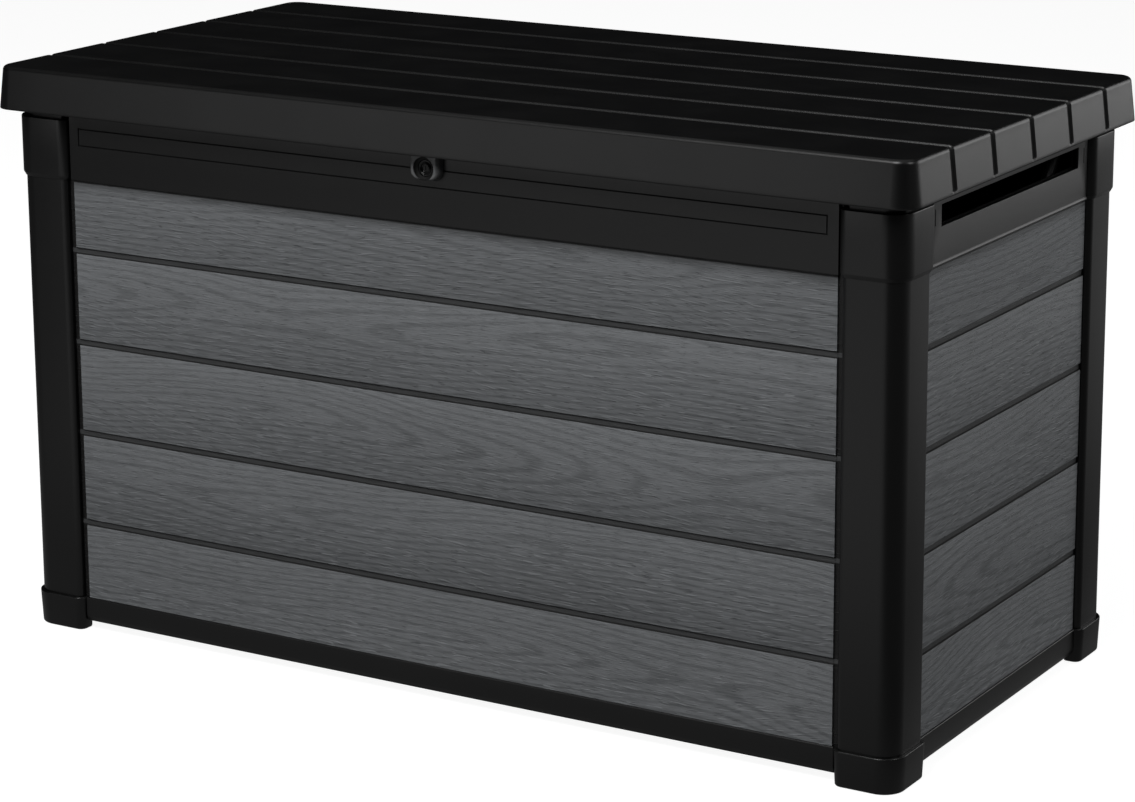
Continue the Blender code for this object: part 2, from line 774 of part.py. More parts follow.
def make_hinge(label, x, steel, rail, shell, lid_pivot, black):
    axis = HINGE_AXIS + Vector((x, 0, 0))
    plate_y = BACK_RAIL_FACE_Y + FIT_GAP
    knuckle = HINGE_KNUCKLE_RADIUS
    leaf_top = axis.z + HINGE_PLATE / 2

    body_leaf = block(
        f"hinge_{label}_body_leaf",
        (x - HINGE_HALF_WIDTH, plate_y, axis.z - HINGE_BODY_LEAF_HEIGHT),
        (x + HINGE_HALF_WIDTH, plate_y + HINGE_PLATE, leaf_top),
        steel,
    )
    arm = block(
        f"hinge_{label}_arm",
        (x - HINGE_HALF_WIDTH, plate_y + HINGE_PLATE / 2, axis.z - HINGE_PLATE / 2),
        (x + HINGE_HALF_WIDTH, axis.y - HINGE_PIN_RADIUS, leaf_top - FIT_GAP / 2),
        steel,
    )
    combine(body_leaf, arm, "UNION")
    barrel = bored_bar(f"hinge_{label}_barrel", axis, HINGE_HALF_WIDTH - FIT_GAP, knuckle, steel)
    combine(body_leaf, barrel, "UNION")
    gap = block(
        f"hinge_{label}_gap",
        (x - HINGE_KNUCKLE_HALF - SIDE_PLAY, plate_y + HINGE_PLATE + SIDE_PLAY, axis.z - knuckle * 2),
        (x + HINGE_KNUCKLE_HALF + SIDE_PLAY, axis.y + knuckle * 2, axis.z + knuckle * 2),
        steel,
    )
    combine(body_leaf, gap, "DIFFERENCE")
    bore = HINGE_PIN_RADIUS + RUNNING_GAP
    combine(
        body_leaf,
        bored_bar(f"hinge_{label}_body_bore", axis, HINGE_HALF_WIDTH * 2, bore, steel),
        "DIFFERENCE",
    )

    lid_plate_back = axis.y + knuckle
    lid_leaf = block(
        f"hinge_{label}_lid_leaf",
        (x - HINGE_HALF_WIDTH, lid_plate_back - HINGE_PLATE, LID_BOTTOM - SIDE_PLAY),
        (x + HINGE_HALF_WIDTH, lid_plate_back, axis.z + HINGE_LID_LEAF_HEIGHT),
        steel,
    )
    neck = block(
        f"hinge_{label}_neck",
        (x - HINGE_KNUCKLE_HALF, lid_plate_back - HINGE_PLATE + FIT_GAP, axis.z),
        (x + HINGE_KNUCKLE_HALF, lid_plate_back - FIT_GAP, LID_BOTTOM + HINGE_PLATE),
        steel,
    )
    combine(lid_leaf, neck, "UNION")
    eye = bored_bar(f"hinge_{label}_eye", axis, HINGE_KNUCKLE_HALF - FIT_GAP, knuckle, steel)
    combine(lid_leaf, eye, "UNION")
    combine(
        lid_leaf,
        bored_bar(f"hinge_{label}_lid_bore", axis, HINGE_HALF_WIDTH * 2, bore, steel),
        "DIFFERENCE",
    )

    pin_half = HINGE_HALF_WIDTH + HINGE_PIN_RADIUS / 2
    pin = turned(
        f"hinge_{label}_pin",
        [
            (-pin_half - HINGE_PIN_HEAD_HEIGHT, HINGE_PIN_HEAD),
            (-pin_half, HINGE_PIN_HEAD),
            (-pin_half, HINGE_PIN_RADIUS),
            (pin_half, HINGE_PIN_RADIUS),
        ],
        axis,
        (1, 0, 0),
        steel,
        SMALL_TURNED_STEPS,
    )

    pad = block(
        f"hinge_{label}_pad",
        (x - HINGE_HALF_WIDTH - PAD_MARGIN, lid_plate_back + FIT_GAP, LID_BOTTOM + PAD_BOTTOM_GAP),
        (
            x + HINGE_HALF_WIDTH + PAD_MARGIN,
            LID_DEPTH / 2 - LID_WALL + PAD_INTO_WALL,
            axis.z + HINGE_LID_LEAF_HEIGHT,
        ),
        black,
    )
    combine(shell, pad, "UNION")

    screws = []
    hole = SCREW_HOLE_RADIUS
    backward = (0, 1, 0)
    for number, offset in enumerate((-HINGE_SCREW_SPREAD, HINGE_SCREW_SPREAD), start=1):
        body_height = axis.z - HINGE_BODY_LEAF_HEIGHT / 2
        body_place = Vector((x + offset, plate_y + HINGE_PLATE + FIT_GAP, body_height))
        drill(body_leaf, f"hinge_{label}_body_drill_{number}", body_place, backward, 0.006, hole, steel)
        drill(rail, f"hinge_{label}_rail_drill_{number}", body_place, backward, 0.008, hole, steel)
        screws.append(make_screw(f"hinge_{label}_body_screw_{number}", body_place, (0, -1, 0), steel))
        lid_height = (LID_BOTTOM + axis.z + HINGE_LID_LEAF_HEIGHT) / 2
        lid_place = Vector((x + offset, lid_plate_back - HINGE_PLATE - FIT_GAP, lid_height))
        drill(lid_leaf, f"hinge_{label}_lid_drill_{number}", lid_place, backward, 0.006, hole, steel)
        hole_reach = SCREW_REACH + SIDE_PLAY
        drill(shell, f"hinge_{label}_pad_drill_{number}", lid_place, backward, hole_reach, hole, steel)
        lid_screw = make_screw(f"hinge_{label}_lid_screw_{number}", lid_place, (0, 1, 0), steel)
        attach(lid_screw, lid_pivot)
    attach(lid_leaf, lid_pivot)
    return pin


# Gas struts


def strut_motion():
    """The strut's length and slope at rest, and its full travel and swing as the lid opens fully."""
    closed = STRUT_HEAD - STRUT_FOOT
    turn = math.radians(LID_MAX_DEG)
    back = -STRUT_LID_BACK * math.cos(turn) + STRUT_LID_UP * math.sin(turn)
    up = STRUT_LID_BACK * math.sin(turn) + STRUT_LID_UP * math.cos(turn)
    opened = HINGE_AXIS + Vector((0, back, up)) - STRUT_FOOT
    swing = math.atan2(closed.z, closed.y) - math.atan2(opened.z, opened.y)
    return closed.length, closed.normalized(), opened.length - closed.length, swing


def make_strut(label, sign, steel, black, lid_pivot):
    length, slope, _, _ = strut_motion()
    foot = STRUT_FOOT + Vector((sign * STRUT_X, 0, 0))
    head = STRUT_HEAD + Vector((sign * STRUT_X, 0, 0))
    panel_x = sign * (HALF_LENGTH - PANEL_BACK - FIT_GAP)

    tube_pivot = pivot(f"strut_{label}_pivot", foot)
    tube = turned(
        f"strut_{label}_tube",
        [
            (STRUT_TUBE_START + STRUT_TUBE_WALL, STRUT_TUBE_BORE),
            (STRUT_TUBE_LENGTH - STRUT_END_WALL, STRUT_TUBE_BORE),
            (STRUT_TUBE_LENGTH - STRUT_END_WALL, STRUT_ROD_RADIUS + RUNNING_GAP),
            (STRUT_TUBE_LENGTH, STRUT_ROD_RADIUS + RUNNING_GAP),
            (STRUT_TUBE_LENGTH, STRUT_TUBE_RADIUS),
            (STRUT_TUBE_START, STRUT_TUBE_RADIUS),
        ],
        foot,
        slope,
        black,
        SMALL_TURNED_STEPS + 2,
    )
    eye_radius = STRUT_EYE_RADIUS + STRUT_END_WALL
    combine(tube, bored_bar(f"strut_{label}_eye", foot, STRUT_EYE_HALF, eye_radius, black), "UNION")
    bore = STRUT_STUD_RADIUS + RUNNING_GAP
    combine(tube, bored_bar(f"strut_{label}_eye_bore", foot, STRUT_EYE_HALF * 2, bore, black), "DIFFERENCE")
    attach(tube, tube_pivot)

    rod = turned(
        f"strut_{label}_rod",
        [
            (-STRUT_ROD_TAIL, STRUT_PISTON_RADIUS),
            (-STRUT_ROD_TAIL + STRUT_PISTON_LENGTH, STRUT_PISTON_RADIUS),
            (-STRUT_ROD_TAIL + STRUT_PISTON_LENGTH, STRUT_ROD_RADIUS),
            (0.0, STRUT_ROD_RADIUS),
        ],
        head,
        slope,
        steel,
        SMALL_TURNED_STEPS + 2,
    )
    socket = bored_bar(f"strut_{label}_socket", head, STRUT_HEAD_HALF, STRUT_HEAD_RADIUS, steel)
    combine(rod, socket, "UNION")
    rod_pivot = pivot(f"strut_{label}_slide", head)
    rod_pivot.parent = tube_pivot
    rod_pivot.matrix_parent_inverse = tube_pivot.matrix_world.inverted()
    bpy.context.view_layer.update()
    attach(rod, rod_pivot)

    near_x, far_x = sorted((panel_x, panel_x - sign * BRACKET_PLATE))
    bracket = block(
        f"strut_{label}_body_bracket",
        (near_x, foot.y - BRACKET_LENGTH / 2, foot.z - BRACKET_HEIGHT / 2),
        (far_x, foot.y + BRACKET_LENGTH / 2, foot.z + BRACKET_HEIGHT / 2),
        steel,
    )
    stud_start = panel_x - sign * BRACKET_PLATE / 2
    stud_end = foot.x - sign * (STRUT_EYE_HALF + STRUT_STUD_END)
    stud = turned(
        f"strut_{label}_body_stud",
        [(0.0, STRUT_STUD_RADIUS), (abs(stud_end - stud_start), STRUT_STUD_RADIUS)],
        Vector((stud_start, foot.y, foot.z)),
        (-sign, 0, 0),
        steel,
        SMALL_TURNED_STEPS,
    )
    combine(bracket, stud, "UNION")

    cheek = head.x + sign * (STRUT_HEAD_HALF + SIDE_PLAY + STRUT_STUD_END)
    cheek_far = cheek + sign * BRACKET_PLATE
    under = LINER_PLATE_BOTTOM - FIT_GAP
    lid_bracket = block(
        f"strut_{label}_lid_bracket",
        (min(cheek, cheek_far), head.y - BRACKET_HEIGHT / 2, head.z - STRUT_HEAD_RADIUS),
        (max(cheek, cheek_far), head.y + BRACKET_HEIGHT / 2, under),
        steel,
    )
    flange_far = cheek_far + sign * BRACKET_FLANGE
    flange_near = cheek_far - sign * BRACKET_PLATE / 2
    flange = block(
        f"strut_{label}_lid_flange",
        (min(flange_near, flange_far), head.y - BRACKET_LENGTH / 2, under - BRACKET_PLATE),
        (max(flange_near, flange_far), head.y + BRACKET_LENGTH / 2, under - FIT_GAP / 2),
        steel,
    )
    combine(lid_bracket, flange, "UNION")
    nub = turned(
        f"strut_{label}_lid_nub",
        [(-STRUT_STUD_END, STRUT_STUD_RADIUS), (BRACKET_PLATE / 2, STRUT_STUD_RADIUS)],
        Vector((cheek, head.y, head.z)),
        (sign, 0, 0),
        steel,
        SMALL_TURNED_STEPS,
    )
    combine(lid_bracket, nub, "UNION")
    attach(lid_bracket, lid_pivot)


# Lock


def make_lock(black, gloss_black, steel, rail, lid_pivot):
    face_y = FRONT_RAIL_FACE_Y - LOCK_PROUD
    seat_y = FRONT_RAIL_FACE_Y - FIT_GAP

    def tab_outline(shrink):
        half = LOCK_HALF_WIDTH - shrink
        low = LOCK_BOTTOM + shrink
        high = LOCK_TOP - shrink
        radius = LOCK_CORNER_RADIUS - shrink
        return filleted(
            [
                (-half, low, radius, CORNER_STEPS),
                (half, low, radius, CORNER_STEPS),
                (half, high, LOCK_EDGE * 2, 1),
                (-half, high, LOCK_EDGE * 2, 1),
            ]
        )

    rings = [
        [Vector((point.x, y, point.y)) for point in tab_outline(shrink)]
        for shrink, y in ((LOCK_EDGE, face_y), (0, face_y + LOCK_EDGE), (0, seat_y))
    ]
    tab = solid("lock_tab", rings, black)
    bore = BARREL_RADIUS + FIT_GAP
    dish_tool = turned(
        "dish_tool",
        [
            (-LOCK_PROUD - LOCK_EDGE, DISH_RADIUS + LOCK_EDGE * (DISH_RADIUS - bore) / DISH_DEPTH),
            (-LOCK_PROUD + DISH_DEPTH, bore),
            (LOCK_EDGE, bore),
        ],
        LOCK_AXIS,
        (0, 1, 0),
        black,
    )
    combine(tab, dish_tool, "DIFFERENCE")

    shank_hole = BARREL_SHANK_RADIUS + RUNNING_GAP
    drill(rail, "lock_hole_tool", LOCK_AXIS, (0, 1, 0), RAIL_BACK, shank_hole, black, TURNED_STEPS)

    turn_pivot = pivot("lock_pivot", LOCK_AXIS)
    head_front = -LOCK_PROUD + DISH_DEPTH + SIDE_PLAY
    cam_front = RAIL_BACK - RAIL_INSET + CAM_SIDE_GAP
    cam_back = cam_front + CAM_THICKNESS
    nut_front = cam_back + FIT_GAP
    shank_end = nut_front + NUT_THICKNESS + FIT_GAP
    barrel = turned(
        "lock_barrel",
        [
            (head_front - BARREL_RING_HEIGHT + BARREL_RECESS, BARREL_CORE_RADIUS),
            (head_front - BARREL_RING_HEIGHT, BARREL_RING_RADIUS - BARREL_RECESS),
            (head_front - BARREL_RING_HEIGHT, BARREL_RING_RADIUS),
            (head_front, BARREL_RING_RADIUS + BARREL_RECESS / 2),
            (head_front, BARREL_RADIUS),
            (-FIT_GAP * 2, BARREL_RADIUS),
            (-FIT_GAP * 2, BARREL_SHANK_RADIUS),
            (shank_end, BARREL_SHANK_RADIUS),
        ],
        LOCK_AXIS,
        (0, 1, 0),
        gloss_black,
    )
    attach(barrel, turn_pivot)

    def cam_rings(y):
        """A round hub with a straight arm that points up when the lock is open."""
        points = []
        start = math.asin(CAM_HALF_WIDTH / CAM_HUB_RADIUS)
        for step in range(TURNED_STEPS + 1):
            turn = start + (2 * math.pi - 2 * start) * step / TURNED_STEPS
            across = CAM_HUB_RADIUS * math.sin(turn)
            points.append(Vector((across, y, LOCK_HEIGHT + CAM_HUB_RADIUS * math.cos(turn))))
        points.append(Vector((-CAM_HALF_WIDTH, y, LOCK_HEIGHT + CAM_REACH)))
        points.append(Vector((CAM_HALF_WIDTH, y, LOCK_HEIGHT + CAM_REACH)))
        return points

    cam = solid("lock_cam", [cam_rings(LOCK_AXIS.y + cam_front), cam_rings(LOCK_AXIS.y + cam_back)], steel)
    drill(cam, "cam_hole_tool", LOCK_AXIS, (0, 1, 0), RAIL_BACK * 2, shank_hole, steel, TURNED_STEPS)
    attach(cam, turn_pivot)

    nut = turned(
        "lock_nut",
        [(nut_front, NUT_RADIUS), (nut_front + NUT_THICKNESS, NUT_RADIUS)],
        LOCK_AXIS,
        (0, 1, 0),
        steel,
        6,
    )
    drill(nut, "nut_hole_tool", LOCK_AXIS, (0, 1, 0), RAIL_BACK * 2, shank_hole, steel, TURNED_STEPS)
    attach(nut, turn_pivot)

    top = LINER_PLATE_BOTTOM - FIT_GAP
    toe_top = LOCK_HEIGHT - CAM_HALF_WIDTH - KEEPER_TOE_GAP
    toe_low = toe_top - KEEPER_TOE
    leg_far = KEEPER_INSIDE + KEEPER_LEG
    profile = [
        (KEEPER_INSIDE - KEEPER_TOE_REACH, toe_low),
        (leg_far, toe_low),
        (leg_far, top - KEEPER_TOE),
        (leg_far + KEEPER_FLANGE, top - KEEPER_TOE),
        (leg_far + KEEPER_FLANGE, top),
        (KEEPER_INSIDE - KEEPER_FLANGE, top),
        (KEEPER_INSIDE - KEEPER_FLANGE, top - KEEPER_TOE),
        (KEEPER_INSIDE, top - KEEPER_TOE),
        (KEEPER_INSIDE, toe_top),
        (KEEPER_INSIDE - KEEPER_TOE_REACH, toe_top),
    ]
    near = FRONT_RAIL_BACK_Y + CAM_SIDE_GAP
    rings = [[Vector((x, y, z)) for x, z in profile] for y in (near, near + KEEPER_THICKNESS)]
    keeper = solid("lock_keeper", rings, steel)
    attach(keeper, lid_pivot)


def main():
    clear_scene()
    black = finish("black_resin", (0.011, 0.011, 0.012), 0.42)
    board_grey = finish("grey_wood_resin", (0.075, 0.080, 0.086), 0.55)
    gloss_black = finish("gloss_black_resin", (0.008, 0.008, 0.009), 0.18)
    steel = finish("zinc_steel", (0.52, 0.53, 0.54), 0.35, 1.0)

    make_panels(board_grey)
    make_corners(black, panel_slots(black))
    rails = make_rails(black)
    make_floor(black)

    lid_pivot = pivot("lid_pivot", HINGE_AXIS)
    shell = make_lid_shell(black)
    liner = make_lid_liner(black)
    for label, x in (("left", -HINGE_PLACE), ("right", HINGE_PLACE)):
        make_hinge(label, x, steel, rails["back"], shell, lid_pivot, black)
    attach(shell, lid_pivot)
    attach(liner, lid_pivot)
    for label, sign in (("left", -1), ("right", 1)):
        make_strut(label, sign, steel, black, lid_pivot)
    make_lock(black, gloss_black, steel, rails["front"], lid_pivot)


main()
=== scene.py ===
"""The finished look of the outdoor storage box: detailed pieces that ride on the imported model's bodies,
procedural materials for every piece, a pale floor, soft lights and the camera.

Units are metres. X runs along the long side, -Y is the front, +Z is up. "Across" is how far a point lies
inside the columns' outer faces, "along" is how far it lies from the middle of a side.
"""

import math

import bmesh
import bpy
from mathutils import Matrix, Vector


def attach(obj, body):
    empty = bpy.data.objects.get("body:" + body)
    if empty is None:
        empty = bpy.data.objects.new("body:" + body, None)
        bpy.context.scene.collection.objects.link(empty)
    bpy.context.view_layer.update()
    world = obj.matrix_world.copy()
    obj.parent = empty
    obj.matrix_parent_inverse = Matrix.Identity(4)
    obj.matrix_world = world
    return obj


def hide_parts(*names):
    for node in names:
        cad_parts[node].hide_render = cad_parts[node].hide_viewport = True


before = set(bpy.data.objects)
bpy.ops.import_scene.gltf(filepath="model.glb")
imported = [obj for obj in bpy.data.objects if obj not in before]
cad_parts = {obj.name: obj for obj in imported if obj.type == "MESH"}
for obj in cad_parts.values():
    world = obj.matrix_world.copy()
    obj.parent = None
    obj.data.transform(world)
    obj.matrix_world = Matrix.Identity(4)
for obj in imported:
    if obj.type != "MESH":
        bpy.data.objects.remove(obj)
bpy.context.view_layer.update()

# Overall sizes
HALF_LENGTH = 0.700
HALF_DEPTH = 0.342
LID_HALF_LENGTH = 0.725
LID_HALF_DEPTH = 0.368
LID_BOTTOM = 0.770
LID_TOP = 0.8315
FIT_GAP = 0.0003

# Corner columns, collars and feet
COLUMN_WIDTH = 0.084
COLUMN_DEPTH = 0.086
COLUMN_THICKNESS = 0.0195
COLUMN_WALL = 0.003
COLUMN_CORNER_RADIUS = 0.028
COLUMN_EDGE_RADIUS = 0.009
COLLAR_PROUD = 0.0045
COLLAR_TOP = 0.7595
COLLAR_CAP = 0.003
COLLAR_CHAMFER = 0.0055
COLLAR_ROUND = 0.0018
NECK_ROUND = 0.0015
FOOT_PROUD = 0.005
FOOT_TAPER = 0.0022
FOOT_HEIGHT = 0.050
FOOT_FLOOR = 0.012
FOOT_ROUND = 0.0016
SOLE_ROUND = 0.0035

# Rails and boards
RAIL_INSET = 0.0055
RAIL_WALL = 0.0032
RAIL_BACK = 0.018
TOP_RAIL_BOTTOM = 0.672
RIM_TOP = 0.785
BOTTOM_RAIL_BASE = 0.014
PANEL_INSET = 0.009
PANEL_BACK = 0.0145
PANEL_BOTTOM = 0.0183
PANEL_TOP = 0.684
FIRST_GROOVE = 0.1641
BOARD_PITCH = 0.1349
GROOVE_COUNT = 4
GROOVE_HALF = 0.00475
GROOVE_FLOOR_HALF = 0.0035
GROOVE_SINK = 0.0025
END_GAP = 0.0088
END_GAP_SINK = 0.0030
END_WALL_GAP_SHARE = 0.2
COLLAR_CLEARANCE = 0.0022
PANEL_TONGUE = 0.0095
CUT_PAST = 0.001
SCORED_LINE = ((0.0, 0.0018), (0.0004, 0.0012), (0.0009, 0.0004))
LINE_WIDTH = 0.0022
LINE_SINK = 0.0022
FRONT_FRAME_HALF = 0.593
FRONT_FRAME_LOW = 0.723
FRONT_FRAME_HIGH = 0.747
SLOT_HALF = 0.2185
SLOT_LOW = 0.722
SLOT_HIGH = 0.7505
SLOT_LINE_OFFSET = 0.0185
SLOT_LINE_LOW = SLOT_LOW + 0.0035

# Lid
LID_WALL = 0.004
LID_SKIN = 0.0045
LID_FLARE = 0.0062
LID_CORNER_RADIUS = 0.032
LID_EDGE_RADIUS = 0.007
LID_HEM_ROUND = 0.0012
SLAT_COUNT = 6
SLAT_PITCH = 0.1224
SLAT_GAP_HALF = 0.0069
SLAT_GAP_FLOOR_HALF = 0.0046
SLAT_SINK = 0.0032
SLAT_STOP = 0.0055
LINER_HALF_LENGTH = 0.690
LINER_HALF_DEPTH = 0.332
LINER_BASE = 0.7853
LINER_PLATE_BOTTOM = 0.800
LINER_PLATE_TOP = 0.8075
LINER_RIM = 0.004
LINER_CORNER_RADIUS = 0.012
LINER_COLUMNS = 6
LINER_ROWS = 3
LINER_MARGIN = (0.060, 0.046)
LINER_BAND = 0.022
LINER_EDGE = 0.0008
FIELD_RADIUS = 0.014
FIELD_DEPTH = 0.0042
FIELD_WALL = (  # (grow, rise) steps from below the plate up to a field's ceiling
    (0.0030, -0.0010),
    (0.0016, 0.0),
    (0.0006, 0.0003),
    (0.0, 0.0011),
    (-0.0016, FIELD_DEPTH - 0.0010),
    (-0.0022, FIELD_DEPTH - 0.0003),
    (-0.0034, FIELD_DEPTH),
)

# Hinges and lock
HINGE_PLACE = 0.420
HINGE_HALF_WIDTH = 0.040
HINGE_PAD_MARGIN = 0.004
HINGE_PAD_FACE_Y = 0.3568
HINGE_PAD_TOP = 0.794
HINGE_PAD_EDGE = 0.0012
LOCK_Z = 0.750
LOCK_HALF_WIDTH = 0.0238
LOCK_BOTTOM = 0.7325
LOCK_TOP = 0.7795
LOCK_CORNER_RADIUS = 0.014
LOCK_PROUD = 0.013
LOCK_EDGE = 0.0058
DISH_RADIUS = 0.0162
DISH_DEPTH = 0.0055
BARREL_RADIUS = 0.0115
BARREL_RINGS = ((0.0056, 0.0012), (0.0078, 0.0020), (0.0102, 0.0009))  # (radius, height)
BARREL_RING_HALF = 0.00095
KEY_SLOT_HALF_WIDTH = 0.0006
KEY_SLOT_HALF_HEIGHT = 0.0034
KEY_SLOT_DEPTH = 0.0045
LOCK_ROUND_STEPS = 64
SHANK_RADIUS = 0.006
SHANK_END = 0.0211
SCREW_HEAD_RADIUS = 0.0038
SCREW_HEAD_HEIGHT = 0.0018
SCREW_RADIUS = 0.0017
CROSS_ARM = (0.0021, 0.00045)
CROSS_DEPTH = 0.0009
FRONT_RAIL_Y = -(HALF_DEPTH - RAIL_INSET)

# Colours and grain
# Near black of the painted shade in recesses, gaps and under the lid
PAINTED_SHADE_BLACK = 0.0004
DUST = (0.16, 0.15, 0.135, 1.0)
BOARD_PALE = 0.232
BOARD_DARK = 0.104
# Painted light: the end walls' boards are painted lighter than the long walls', as if lit more
LONG_WALL_PAINTED_LIGHT = 1.02
END_WALL_PAINTED_LIGHT = 1.20
RINGS_PER_METRE = 120.0
SKY_DIM = (0.005, 0.005, 0.0055, 1.0)
WHITE = (1.0, 1.0, 1.0, 1.0)

# Camera: place in metres, turns in degrees, lens and sensor in millimetres
CAMERA_PLACE = (2.4865, -4.0773, 1.6336)
CAMERA_AZIMUTH = 30.685
CAMERA_ELEVATION = 13.153
CAMERA_ROLL = -0.174
LENS_LENGTH = 109.13
SENSOR_WIDTH = 36.0
LENS_SHIFT = (-0.03, -0.10)

SIDES = ("front", "back", "left", "right")
CORNERS = {
    "front_left": (-1, -1),
    "front_right": (1, -1),
    "back_left": (-1, 1),
    "back_right": (1, 1),
}


# Shader maths


class Value:
    """One shader socket. The operators add Math nodes, so shader maths reads as plain expressions."""

    def __init__(self, finish, socket):
        self.finish = finish
        self.socket = socket

    def __add__(self, other):
        return self.finish.math("ADD", self, other)

    def __radd__(self, other):
        return self.finish.math("ADD", other, self)

    def __sub__(self, other):
        return self.finish.math("SUBTRACT", self, other)

    def __rsub__(self, other):
        return self.finish.math("SUBTRACT", other, self)

    def __mul__(self, other):
        return self.finish.math("MULTIPLY", self, other)

    def __rmul__(self, other):
        return self.finish.math("MULTIPLY", other, self)

    def __truediv__(self, other):
        return self.finish.math("DIVIDE", self, other)

    def __rtruediv__(self, other):
        return self.finish.math("DIVIDE", other, self)

    def __pow__(self, other):
        return self.finish.math("POWER", self, other)

    def __rpow__(self, other):
        return self.finish.math("POWER", other, self)


class Finish:
    """The nodes of one material, or of the world, under construction, with the shader at their end."""

    def __init__(self, owner, shader="Principled BSDF"):
        self.owner = owner
        owner.use_nodes = True
        self.tree = owner.node_tree
        self.shader = self.tree.nodes[shader]

    def plug(self, socket, value):
        """Links a wrapped socket to a socket, or sets a plain value on it."""
        if isinstance(value, Value):
            self.tree.links.new(value.socket, socket)
        else:
            socket.default_value = value

    def node(self, kind, settings=(), inputs=(), output=0):
        """One node of a kind: its settings are set first, then its inputs' values or links."""
        node = self.tree.nodes.new(kind)
        for key, setting in dict(settings).items():
            setattr(node, key, setting)
        for key, value in dict(inputs).items():
            self.plug(node.inputs[key], value)
        return Value(self, node.outputs[output])

    def math(self, operation, *values):
        return self.node("ShaderNodeMath", {"operation": operation}, dict(enumerate(values)))

    def position(self):
        """The place on the piece, in metres, which stays with the piece as it moves."""
        return self.node("ShaderNodeTexCoord", output="Object")

    def parts(self, vector):
        """The three components of a vector or colour."""
        separate = self.node("ShaderNodeSeparateXYZ", {}, {0: vector})
        return [Value(self, socket) for socket in separate.socket.node.outputs]

    def join(self, x, y, z):
        return self.node("ShaderNodeCombineXYZ", {}, {0: x, 1: y, 2: z})

    def stretch(self, vector, factors):
        return self.node("ShaderNodeVectorMath", {"operation": "MULTIPLY"}, {0: vector, 1: factors})

    def noise(self, vector, scale, detail=2.0, rough=0.5, warp=0.0):
        inputs = {"Vector": vector, "Scale": scale, "Detail": detail, "Roughness": rough, "Distortion": warp}
        return self.node("ShaderNodeTexNoise", {}, inputs)

    def cells(self, vector, scale, output="Distance"):
        inputs = {"Vector": vector, "Scale": scale}
        return self.node("ShaderNodeTexVoronoi", {"feature": "F1"}, inputs, output)

    def remap(self, value, low, high, out_low=0.0, out_high=1.0):
        """A smooth step of value from low to high, given as out_low to out_high."""
        settings = {"clamp": True, "interpolation_type": "SMOOTHSTEP"}
        inputs = {0: value, 1: low, 2: high, 3: out_low, 4: out_high}
        return self.node("ShaderNodeMapRange", settings, inputs)

    def blend(self, factor, first, second):
        """A colour between two, by factor."""
        settings = {"data_type": "RGBA", "clamp_factor": True}
        return self.node("ShaderNodeMix", settings, {0: factor, 6: first, 7: second}, 2)

    def relief(self, height, strength, distance, below=None):
        """A bump from a height, on top of another one where below is given."""
        inputs = {"Height": height, "Strength": strength, "Distance": distance}
        if below is not None:
            inputs["Normal"] = below
        return self.node("ShaderNodeBump", {}, inputs)

    def set(self, **inputs):
        """Plugs values into the end shader's sockets, named with _ for a space, and gives the owner back."""
        for name, value in inputs.items():
            self.plug(self.shader.inputs[name.replace("_", " ")], value)
        return self.owner


def grey(level, tint=0.0):
    """A near neutral colour; a positive tint leans it towards blue."""
    return (level * (1 - tint), level, level * (1 + tint), 1.0)


# Finishes


def moulded_resin(name, level, roughness, grain=1.0, dust=0.02, sunk=None):
    """Black polypropylene moulded on a finely etched tool, with faint flow marks, scuffs and settled dust.

    Where sunk's mask is 1 the surface is painted near black and made matt: painted shade in narrow recesses,
    gaps and under the lid.
    """
    finish = Finish(bpy.data.materials.new(name))
    place = finish.position()
    etched = finish.noise(place, 1500, 3.0, 0.62)
    pits = finish.cells(place, 1150)
    flow = finish.noise(finish.stretch(place, (1.2, 3.5, 1.8)), 4.0, 3.0, 0.55, 0.6)
    patches = finish.noise(place, 11.0, 4.0, 0.6)
    streaks = finish.noise(finish.stretch(place, (5.0, 34.0, 60.0)), 6.0, 2.0, 0.5)
    scuffs = finish.remap(streaks, 0.66, 0.74) * finish.remap(patches, 0.52, 0.66)
    upward = finish.parts(finish.node("ShaderNodeNewGeometry", output="Normal"))[2]
    settled = finish.remap(upward, 0.35, 0.95) * finish.remap(patches, 0.35, 0.75)
    tone = finish.blend(flow, grey(level * 0.85, 0.02), grey(level * 1.15, 0.02))
    tone = finish.blend(scuffs * 0.05, tone, grey(level * 4.0))
    tone = finish.blend(settled * dust, tone, DUST)
    gloss = roughness + (patches - 0.5) * 0.05 + (flow - 0.5) * 0.04 + scuffs * 0.05 + settled * 0.03
    # Painted shade: near black and matt where the mask is 1
    if sunk:
        recess = sunk(finish, *finish.parts(place))
        tone = finish.blend(recess, tone, grey(PAINTED_SHADE_BLACK))
        gloss = gloss + recess * 0.5
    etched_relief = finish.relief(etched * 0.65 + pits * 0.35, 0.18 * grain, 0.00035)
    wavy = finish.relief(flow, 0.03, 0.004, etched_relief)
    return finish.set(Base_Color=tone, Roughness=gloss, Normal=wavy, IOR=1.47)


def between(finish, value, low, high):
    """1 where value lies between low and high."""
    return finish.math("GREATER_THAN", value, low) * finish.math("LESS_THAN", value, high)


def dish_shade_mask(finish, x, y, z):
    """1 inside the dished eye of the lock housing, where shade is painted near black."""
    away = finish.math("SQRT", x * x + (z - LOCK_Z) ** 2.0)
    return finish.remap(away, DISH_RADIUS - 0.0004, DISH_RADIUS, 1.0, 0.0)


